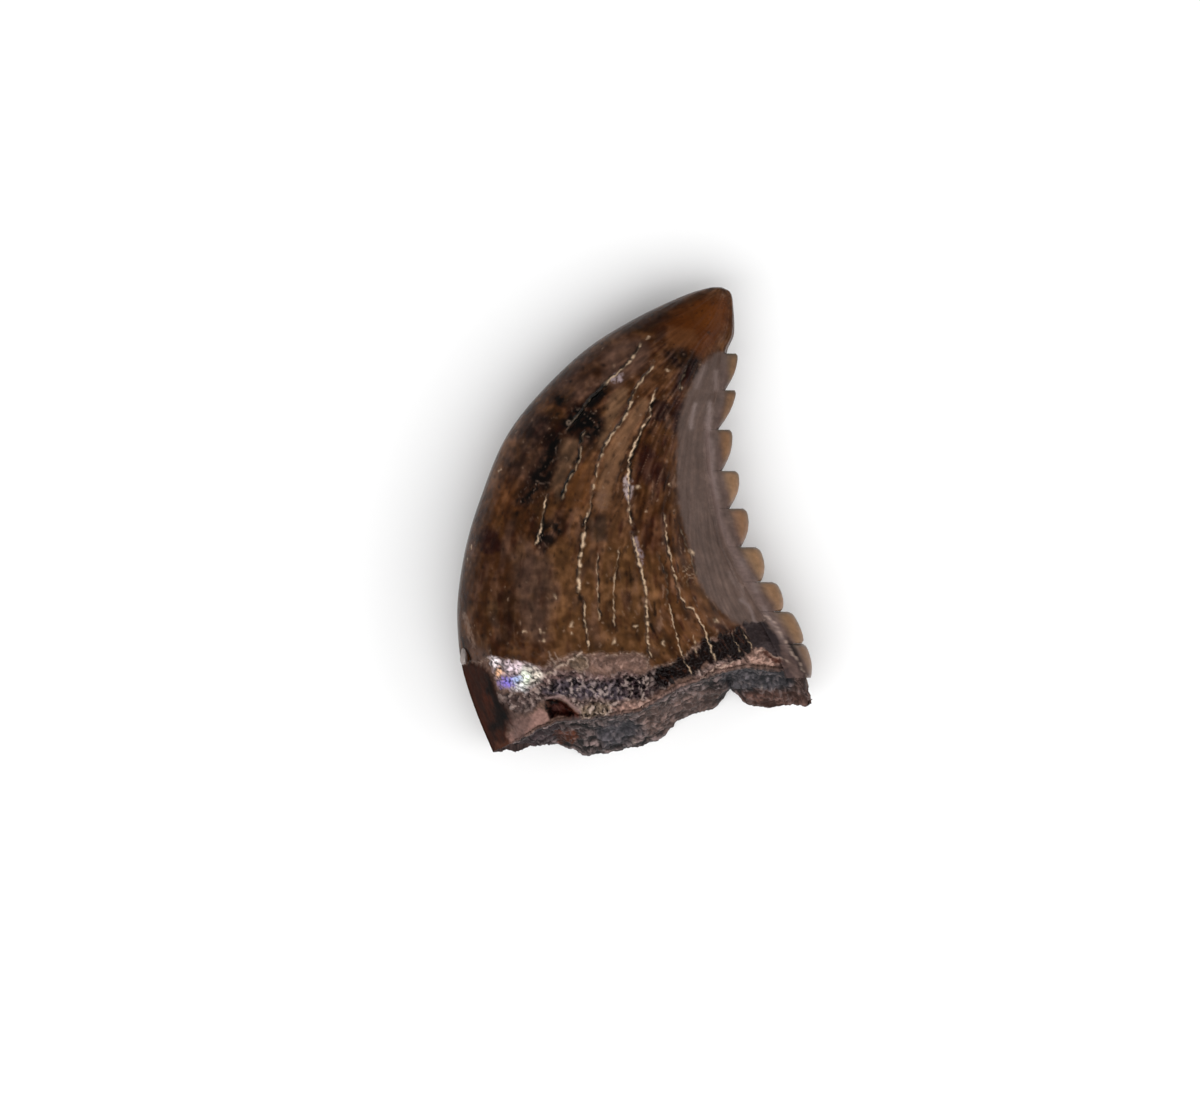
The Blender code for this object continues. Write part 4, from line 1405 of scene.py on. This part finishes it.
FILL_PATCHES = {
    "left, grey brown": ((58, 48, 50), 0.80, 3, [
        (515, 745), (532, 732), (552, 724), (566, 730), (556, 742), (530, 748)]),
    "orange brown": ((76, 44, 32), 0.95, 2.0, [
        (553, 735), (560, 728), (574, 729), (580, 737), (574, 744), (558, 745)]),
    "blue": ((72, 70, 75), 0.70, 5, [(596, 732), (612, 722), (632, 720), (640, 730), (624, 744), (604, 746)]),
    "mauve": ((96, 78, 72), 0.70, 4, [
        (640, 712), (672, 700), (700, 690), (724, 688), (716, 708), (690, 722), (648, 738)]),
    "blue, right": ((62, 62, 66), 0.70, 4, [
        (716, 672), (744, 664), (786, 668), (792, 684), (756, 690), (730, 688)]),
    "brown lower edge": ((88, 63, 55), 0.80, 3, [
        (728, 696), (750, 692), (776, 690), (800, 694), (816, 700), (812, 716), (740, 716)]),
    "corner": ((84, 66, 60), 0.70, 3, [(788, 668), (800, 676), (814, 700), (804, 708), (794, 694)]),
}


def stone_look(skin, front, down):
    """Dark blue-grey stone: lumps and small grains with black gaps, blotched brown, with pale edges and
    painted shade under the tooth's rim.
    """
    blotch = skin.grains(0.16, 181, 2)
    grain = skin.grains(0.050, 184)
    wander = 0.030 * np.column_stack([skin.grains(0.10, 186, 2), skin.grains(0.10, 189, 2)])
    face_x = skin.points[:, 0] + wander[:, 0]
    face_y = 0.75 * skin.points[:, 1] + 0.40 * skin.points[:, 2] + wander[:, 1]
    border, lump_tone = cells(face_x, face_y, 0.105, 190)
    small_border, small_tone = cells(face_x, face_y, 0.048, 191)
    lumps = smooth_step(0.03, 0.38, border)
    small = smooth_step(0.03, 0.45, small_border)
    skin.raise_by(0.034, front * blotch)
    skin.raise_by(0.022, front * (lumps - 0.5) * smooth_step(-0.4, 0.5, blotch))
    skin.raise_by(0.008, front * (small - 0.5))
    skin.raise_by(0.014, front * grain)
    skin.tint[:] = albedo(90, 77, 75)
    skin.paint(FILL_PATCHES)
    skin.tint *= np.exp(1.7 * (lump_tone - 0.5) + 0.5 * (small_tone - 0.5) + 0.40 * grain)[:, None]
    skin.tone(albedo(10, 8, 9), 0.80 * (1 - lumps) * smooth_step(-0.6, 0.3, blotch))
    skin.tone(albedo(14, 11, 12), 0.92 * smooth_step(-0.06, 0.34, -blotch - 0.4 * grain))
    cover, number = rough_strokes(face_x / MM_PER_PIXEL, face_y / MM_PER_PIXEL, 193)
    pale = smooth_step(0.3, 0.8, cover) * smooth_step(0.55, 1.0, number)
    skin.tone(albedo(136, 122, 120), 0.55 * pale * smooth_step(-0.5, 0.3, blotch))
    skin.tone(albedo(16, 12, 13), 0.35 * smooth_step(0.3, 0.8, cover) * smooth_step(0.45, 0.0, number))
    skin.paint(FILL_PATCHES, 0.40, shade=np.exp(0.35 * grain)[:, None])
    skin.tone(albedo(150, 134, 122), 0.60 * marks(skin, 0.14, 1.2, 195) * smooth_step(-0.3, 0.3, grain))
    # Painted shade just under the rim of the tooth.
    skin.tone(albedo(12, 9, 9), 0.75 * smooth_step(0.20, 0.07, down + 0.05 * grain))
    skin.rough[:] = 0.6


def make_fill(material):
    """The stone: closed rings from one edge of the tooth to the other, with a rough front."""
    rings, downs = zip(*[fill_ring(share) for share in np.linspace(*FILL_ENDS, FILL_STATIONS)])
    sides = FILL_FRONT + FILL_BACK
    points = np.vstack(rings)
    faces = ring_faces(0, FILL_STATIONS, sides)
    grid = points.reshape(FILL_STATIONS, sides, 3)
    tangent_a = np.gradient(grid, axis=0)
    tangent_b = np.gradient(grid, axis=1)
    normal = np.cross(tangent_a, tangent_b).reshape(-1, 3)
    normal /= np.maximum(np.linalg.norm(normal, axis=1), 1e-12)[:, None]
    normal *= np.where(normal[:, 1] > 0, -1, 1)[:, None]
    down = np.concatenate(downs)
    is_front = np.tile(np.arange(sides) < FILL_FRONT, FILL_STATIONS)
    front = is_front * smooth_step(0.03, 0.16, down) * smooth_step(1.0, 0.90, down)
    skin = Skin(points, np.zeros(len(points)), np.repeat(np.linspace(*FILL_ENDS, FILL_STATIONS), sides))
    stone_look(skin, front, down)
    points = points + normal * skin.lift[:, None]
    make_piece("stone_fill", points, faces, material, skin)


# Denticles

DENTICLE_LEVELS = 44
DENTICLE_SIDES = 40


def toothed_edge_x(y):
    """How far right the toothed edge lies at each height."""
    line = curve_at(TOOTHED_EDGE, np.linspace(0, 1, EDGE_SAMPLES))
    return np.interp(y, line[:, 1], line[:, 0])


def denticle_edge(y, bottom, top):
    """Where a denticle meets the crown: a straight line between two heights of the toothed edge."""
    return np.interp(y, [bottom, top], toothed_edge_x(np.array([bottom, top])))


def denticle_outline(index, down):
    """The outline of one denticle in part.py, for the footprint."""
    top = NOTCH_Y[index] - DENTICLE_GAP / 2
    bottom = NOTCH_Y[index + 1] + DENTICLE_GAP / 2
    y = top + (bottom - top) * down
    form = np.array(DENTICLE_FORM)
    reach = np.interp(down, form[:, 0], form[:, 1])
    edge = denticle_edge(y, bottom, top)
    return np.column_stack([edge + DENTICLE_REACH[index] * reach, y])


# The lowest denticles are squarer: their form, and how square each denticle is, from the tip down
SQUARE_FORM = [0.78, 0.96, 1.0, 0.99, 0.94, 0.86, 0.74, 0.52]
SQUARENESS = [0.0, 0.0, 0.0, 0.0, 0.10, 0.35, 0.65, 0.95, 0.40]


def smooth_column(levels, shares, values, window):
    """Values between given ones, with the corners rounded off."""
    fine = np.linspace(0, 1, EDGE_SAMPLES)
    line = np.interp(fine, shares, values)
    padded = np.concatenate([np.full(window, line[0]), line, np.full(window, line[-1])])
    kernel = np.ones(2 * window + 1) / (2 * window + 1)
    return np.interp(levels, fine, np.convolve(padded, kernel, "valid"))


SLIT = 0.003  # between one denticle and the next
EDGE_SHARES = (0.915, 0.955)  # two lines near the toothed edge, which the wedges carry on
WEDGE_THINNING = 0.62  # how much thinner a wedge is at its outer edge
LEAST_HALF_THICKNESS = 0.08


def edge_slope(side):
    """For heights y: where two lines near the toothed edge lie, and how high the side stands on them."""
    along = np.linspace(0, 1, EDGE_SAMPLES)
    lines = [side(along, np.full(EDGE_SAMPLES, share)) for share in EDGE_SHARES]
    return [(line[:, 1], line[:, 0], line[:, 2]) for line in lines]


def carried_on(lines, x, y):
    """Height of a side at x, y if it ran straight on past the toothed edge."""
    (x1, z1), (x2, z2) = [(np.interp(y, ys, xs), np.interp(y, ys, zs)) for ys, xs, zs in lines]
    return z2 + (z2 - z1) / (x2 - x1) * (x - x2)


def denticle_rings(index, near_lines, far_lines):
    """Closed rings down one denticle, a wedge that carries on both sides of the crown."""
    top = NOTCH_Y[index] - SLIT / 2
    bottom = NOTCH_Y[index + 1] + SLIT / 2
    levels = eased(DENTICLE_LEVELS)
    form = np.array(DENTICLE_FORM)
    square = SQUARENESS[index]
    mixed = form[:, 1] * (1 - square) + np.array(SQUARE_FORM) * square
    reaches = smooth_column(levels, form[:, 0], mixed, 10)
    u = eased(DENTICLE_SIDES // 2 + 1)
    rings = []
    for down, reach in zip(levels, reaches):
        y = top + (bottom - top) * down
        edge = denticle_edge(y, bottom, top)
        outer = edge + DENTICLE_REACH[index] * reach
        inner = edge - DENTICLE_ROOT
        x = inner + (outer - inner) * u
        outward = np.clip((x - edge + 0.02) / (DENTICLE_REACH[index] + 0.02), 0, 1)
        ends = np.sqrt(np.clip(1 - (2 * down - 1)**8, 0, 1))
        wedge = 1 - WEDGE_THINNING * outward**1.1
        wedge *= 1 - smooth_step(0.0, 0.25, outward) * (0.45 - 0.45 * ends)
        wedge *= np.sqrt(np.clip(1 - np.clip((u - 0.84) / 0.16, 0, 1)**2, 0, 1))
        wedge *= np.sqrt(np.clip(1 - np.clip((0.1 - u) / 0.1, 0, 1)**2, 0, 1))
        near_z = np.maximum(carried_on(near_lines, x, y), LEAST_HALF_THICKNESS) * wedge
        far_z = np.minimum(carried_on(far_lines, x, y), -LEAST_HALF_THICKNESS) * wedge
        near_half = np.column_stack([x, np.full_like(x, y), near_z])
        far_half = np.column_stack([x, np.full_like(x, y), far_z])[-2:0:-1]
        rings.append(np.vstack([near_half, far_half]))
    return rings


# Screen colours of the nine denticles, from the tip down
DENTICLE_TONES = [
    (92, 73, 58), (93, 71, 56), (108, 80, 60), (128, 100, 77), (120, 90, 70), (131, 102, 77), (129, 99, 75),
    (125, 97, 73), (108, 84, 68),
]


def make_denticles(material):
    """The nine denticles, as nine closed forms in one mesh."""
    points, faces, outward, tones = [], [], [], []
    levels = eased(DENTICLE_LEVELS)
    down = np.tile(np.repeat(levels, DENTICLE_SIDES), len(DENTICLE_REACH))
    near_lines, far_lines = edge_slope(near_side), edge_slope(far_side)
    for index in range(len(DENTICLE_REACH)):
        rings = denticle_rings(index, near_lines, far_lines)
        start = len(points) * DENTICLE_LEVELS * DENTICLE_SIDES
        block = np.vstack(rings)
        edge = toothed_edge_x(block[:, 1])
        outward.append((block[:, 0] - edge) / DENTICLE_REACH[index])
        tones.append(np.tile(albedo(*DENTICLE_TONES[index]), (len(block), 1)))
        points.append(block)
        faces.extend(ring_faces(start, DENTICLE_LEVELS, DENTICLE_SIDES))
    points = np.vstack(points)
    outward = np.concatenate(outward)
    skin = Skin(points, np.zeros(len(points)), np.zeros(len(points)))
    skin.fibre = points.copy()
    denticle_look(skin, outward, down, np.vstack(tones))
    make_piece("denticles", points, faces, material, skin)


def denticle_look(skin, outward, down, tones):
    """Grey roots like the band with its painted sheen, warm middles, painted shade where each meets the
    crown, and a thin dusky outline.
    """
    wander = 0.10 * skin.grains(0.10, 206)
    middle = smooth_step(0.02, 0.22, down) * smooth_step(0.98, 0.60, down)
    skin.tint[:] = albedo(98, 82, 78)
    band_with_sheen_look(skin)
    base_patches(skin)
    warm = smooth_step(-0.15, 0.40, outward + wander)
    skin.tint += (tones - skin.tint) * (0.95 * warm)[:, None]
    # Painted shade in the crease where each denticle meets the crown.
    hollow = smooth_step(-0.35, -0.05, outward) * smooth_step(0.35, 0.05, outward)
    hollow = hollow * smooth_step(0.2, 0.6, down)
    skin.tone(albedo(78, 60, 56), 0.45 * hollow)
    skin.tone(albedo(142, 104, 70), 0.30 * smooth_step(0.25, 0.6, outward + wander) * middle)
    skin.tone(albedo(100, 88, 74), 0.60 * smooth_step(0.78, 1.0, outward))
    skin.tone(albedo(92, 82, 70), 0.65 * smooth_step(0.10, 0.0, down) * smooth_step(-0.1, 0.1, outward))
    skin.tint *= np.exp(0.22 * skin.grains(0.07, 201) + 0.14 * skin.grains(0.030, 204, 2))[:, None]
    skin.rough[:] = 0.35


# A pale bead of mineral on the back edge

NODULE_PIXEL = (464.3, 656.5)
NODULE_RADII = (0.044, 0.100, 0.060)
NODULE_HEIGHT = 0.13
NODULE_RINGS = 24
NODULE_SIDES = 32


def make_nodule(material):
    """A lumpy little ball."""
    turn = np.linspace(0, 2 * math.pi, NODULE_SIDES, endpoint=False)
    rise = np.linspace(-math.pi / 2, math.pi / 2, NODULE_RINGS)[1:-1]
    round_part = [
        np.column_stack([
            np.cos(t) * np.cos(turn), np.cos(t) * np.sin(turn), np.full(NODULE_SIDES, math.sin(t))])
        for t in rise]
    shape = np.vstack([*round_part, [[0, 0, -1]], [[0, 0, 1]]])
    shape = shape * (1 + 0.22 * noise(shape * 1.6, 221) + 0.08 * noise(shape * 4.0, 222))[:, None]
    centre = np.array([
        (NODULE_PIXEL[0] - MODEL_PIXEL[0]) * MM_PER_PIXEL, (MODEL_PIXEL[1] - NODULE_PIXEL[1]) * MM_PER_PIXEL,
        NODULE_HEIGHT])
    points = centre + shape * np.array(NODULE_RADII)
    faces = ring_faces(0, len(rise), NODULE_SIDES, capped=False)
    bottom, top = len(rise) * NODULE_SIDES, len(rise) * NODULE_SIDES + 1
    last = (len(rise) - 1) * NODULE_SIDES
    for side in range(NODULE_SIDES):
        after = (side + 1) % NODULE_SIDES
        faces.append((bottom, after, side))
        faces.append((top, last + side, last + after))
    skin = Skin(points, np.zeros(len(points)), np.zeros(len(points)))
    skin.fibre = points.copy()
    skin.tint[:] = albedo(150, 140, 136) * np.exp(0.3 * skin.grains(0.05, 223))[:, None]
    skin.tone(albedo(96, 82, 78), smooth_step(0.1, 0.6, shape[:, 0]))
    skin.tone(albedo(84, 62, 48), 0.85 * smooth_step(0.35, -0.25, shape[:, 2]))
    skin.rough[:] = 0.2
    make_piece("nodule", points, faces, material, skin)


# Materials

def add_node(tree, kind, inputs=None, **settings):
    """A new shader node. An input that is given as a socket is linked, and any other is set."""
    node = tree.nodes.new("ShaderNode" + kind)
    for name, value in settings.items():
        setattr(node, name, value)
    for name, value in (inputs or {}).items():
        if isinstance(value, bpy.types.NodeSocket):
            tree.links.new(value, node.inputs[name])
        else:
            node.inputs[name].default_value = value
    return node


def new_material(name):
    """A new material, with its nodes and its shader."""
    material = bpy.data.materials.new(name)
    material.use_nodes = True
    tree = material.node_tree
    return material, tree, tree.nodes["Principled BSDF"]


def surface_material(name, grain, fibre_scale, colour_depth, rough_depth, bump_height, specular):
    """Painted tint and finish, with fine noise over them in colour, roughness and height."""
    material, tree, shader = new_material(name)
    tint, finish, fibre = [
        add_node(tree, "Attribute", attribute_name=label) for label in ("tint", "finish", "fibre")]
    place = add_node(tree, "TexCoord")
    parts = add_node(tree, "SeparateXYZ", {"Vector": finish.outputs["Vector"]})
    spread = add_node(tree, "Mapping", {"Vector": fibre.outputs["Vector"], "Scale": fibre_scale})
    streak = add_node(tree, "TexNoise", {
        "Vector": spread.outputs[0], "Scale": 1.0, "Detail": 4.0, "Roughness": 0.6})
    grains = add_node(tree, "TexNoise", {
        "Vector": place.outputs["Object"], "Scale": 1000 / grain, "Detail": 4.0, "Roughness": 0.65})
    both = add_node(tree, "Math", {0: streak.outputs["Fac"], 1: grains.outputs["Fac"]}, operation="ADD")
    level = add_node(tree, "MapRange", {
        "Value": both.outputs[0], "From Min": 0.6, "From Max": 1.4,
        "To Min": 1 - colour_depth, "To Max": 1 + colour_depth}, clamp=True)
    colour = add_node(tree, "VectorMath", {
        0: tint.outputs["Color"], "Scale": level.outputs[0]}, operation="SCALE")
    tree.links.new(colour.outputs[0], shader.inputs["Base Color"])
    rough = add_node(tree, "MapRange", {
        "Value": grains.outputs["Fac"], "From Min": 0.3, "From Max": 0.7,
        "To Min": -rough_depth, "To Max": rough_depth})
    total = add_node(tree, "Math", {0: parts.outputs["X"], 1: rough.outputs[0]}, operation="ADD")
    total.use_clamp = True
    tree.links.new(total.outputs[0], shader.inputs["Roughness"])
    bump = add_node(tree, "Bump", {
        "Height": both.outputs[0], "Strength": 1.0, "Distance": bump_height * MM})
    tree.links.new(bump.outputs[0], shader.inputs["Normal"])
    shader.inputs["Specular IOR Level"].default_value = specular
    return material


# Floor, light and camera

FLOOR_SIDE = 1.2  # in metres
FLOOR_CELLS = 24
FLOOR_TONES = (0.875, 0.885)
FLOOR_ROUGH = 0.9
FLOOR_SPECULAR = 0.1


def make_floor():
    """A plain pale floor."""
    side = np.linspace(-FLOOR_SIDE / 2, FLOOR_SIDE / 2, FLOOR_CELLS + 1)
    points = [(x, y, 0.0) for y in side for x in side]
    faces = []
    for row in range(FLOOR_CELLS):
        for column in range(FLOOR_CELLS):
            a = row * (FLOOR_CELLS + 1) + column
            faces.append((a, a + 1, a + FLOOR_CELLS + 2, a + FLOOR_CELLS + 1))
    mesh = bpy.data.meshes.new("floor")
    mesh.from_pydata(points, [], faces)
    material, tree, shader = new_material("floor")
    place = add_node(tree, "TexCoord")
    mottle = add_node(tree, "TexNoise", {"Vector": place.outputs["Object"], "Scale": 400.0})
    low, high = FLOOR_TONES
    tone = add_node(tree, "MapRange", {"Value": mottle.outputs["Fac"], "To Min": low, "To Max": high})
    tree.links.new(tone.outputs[0], shader.inputs["Base Color"])
    shader.inputs["Roughness"].default_value = FLOOR_ROUGH
    shader.inputs["Specular IOR Level"].default_value = FLOOR_SPECULAR
    mesh.materials.append(material)
    floor = add_object("floor", mesh)


# The sky is a little darker overhead: directions, and how bright it is there
SKY_HEIGHTS = (0.05, 0.75)
SKY_LEVELS = (0.50, 0.46)

# Soft boxes: azimuth from +X towards +Y, elevation, distance, width and height in metres, radiance
SOFT_BOXES = {
    "right": (8, 30, 0.10, 0.14, 0.050, 1.3),
    "front": (-85, 56, 0.12, 0.30, 0.120, 2.1),
    "back": (95, 22, 0.12, 0.20, 0.050, 0.08),
}


def make_lights():
    """Three soft boxes in an even grey studio."""
    for name, (azimuth, elevation, distance, width, height, radiance) in SOFT_BOXES.items():
        data = bpy.data.lights.new(name, "AREA")
        data.shape = "RECTANGLE"
        data.size, data.size_y = width, height
        data.energy = radiance * math.pi * width * height
        box = add_object(name, data)
        a, e = math.radians(azimuth), math.radians(elevation)
        flat = distance * math.cos(e)
        box.location = (flat * math.cos(a), flat * math.sin(a), distance * math.sin(e))
        box.rotation_euler = (math.pi / 2 - e, 0, a + math.pi / 2)
        box.visible_camera = False
    world = bpy.data.worlds.new("studio")
    world.use_nodes = True
    tree = world.node_tree
    sky = tree.nodes["Background"]
    place = add_node(tree, "TexCoord")
    parts = add_node(tree, "SeparateXYZ", {"Vector": place.outputs["Generated"]})
    level = add_node(tree, "MapRange", {
        "Value": parts.outputs["Z"], "From Min": SKY_HEIGHTS[0], "From Max": SKY_HEIGHTS[1],
        "To Min": SKY_LEVELS[0], "To Max": SKY_LEVELS[1]})
    tree.links.new(level.outputs[0], sky.inputs["Color"])
    bpy.context.scene.world = world
    bpy.context.scene.view_settings.view_transform = "Standard"


def make_camera():
    """Straight down from CAMERA_DISTANCE, with the photograph's frame."""
    data = bpy.data.cameras.new("camera")
    data.sensor_width = SENSOR_WIDTH
    data.sensor_fit = "HORIZONTAL"
    data.lens = SENSOR_WIDTH * CAMERA_DISTANCE / (PHOTO_SIZE[0] * MM_PER_PIXEL)
    data.clip_start, data.clip_end = 0.001, 10.0
    camera = add_object("camera", data)
    x = (PHOTO_SIZE[0] / 2 - MODEL_PIXEL[0]) * MM_PER_PIXEL
    y = (MODEL_PIXEL[1] - PHOTO_SIZE[1] / 2) * MM_PER_PIXEL
    camera.location = (np.array([x, y, CAMERA_DISTANCE]) + SHIFT) * MM
    bpy.context.scene.camera = camera


SHIFT = footprint_shift()


def build():
    enamel = surface_material(
        "enamel", grain=0.028, fibre_scale=(26, 6, 1), colour_depth=0.14, rough_depth=0.06,
        bump_height=0.0010, specular=0.09)
    stone = surface_material(
        "stone", grain=0.022, fibre_scale=(25, 25, 25), colour_depth=0.40, rough_depth=0.10,
        bump_height=0.0040, specular=0.10)
    denticle = surface_material(
        "denticle_enamel", grain=0.030, fibre_scale=(12, 12, 12), colour_depth=0.15, rough_depth=0.05,
        bump_height=0.0010, specular=0.11)
    make_crown(enamel)
    make_fill(stone)
    make_denticles(denticle)
    make_nodule(denticle)
    make_floor()
    make_lights()
    make_camera()


build()
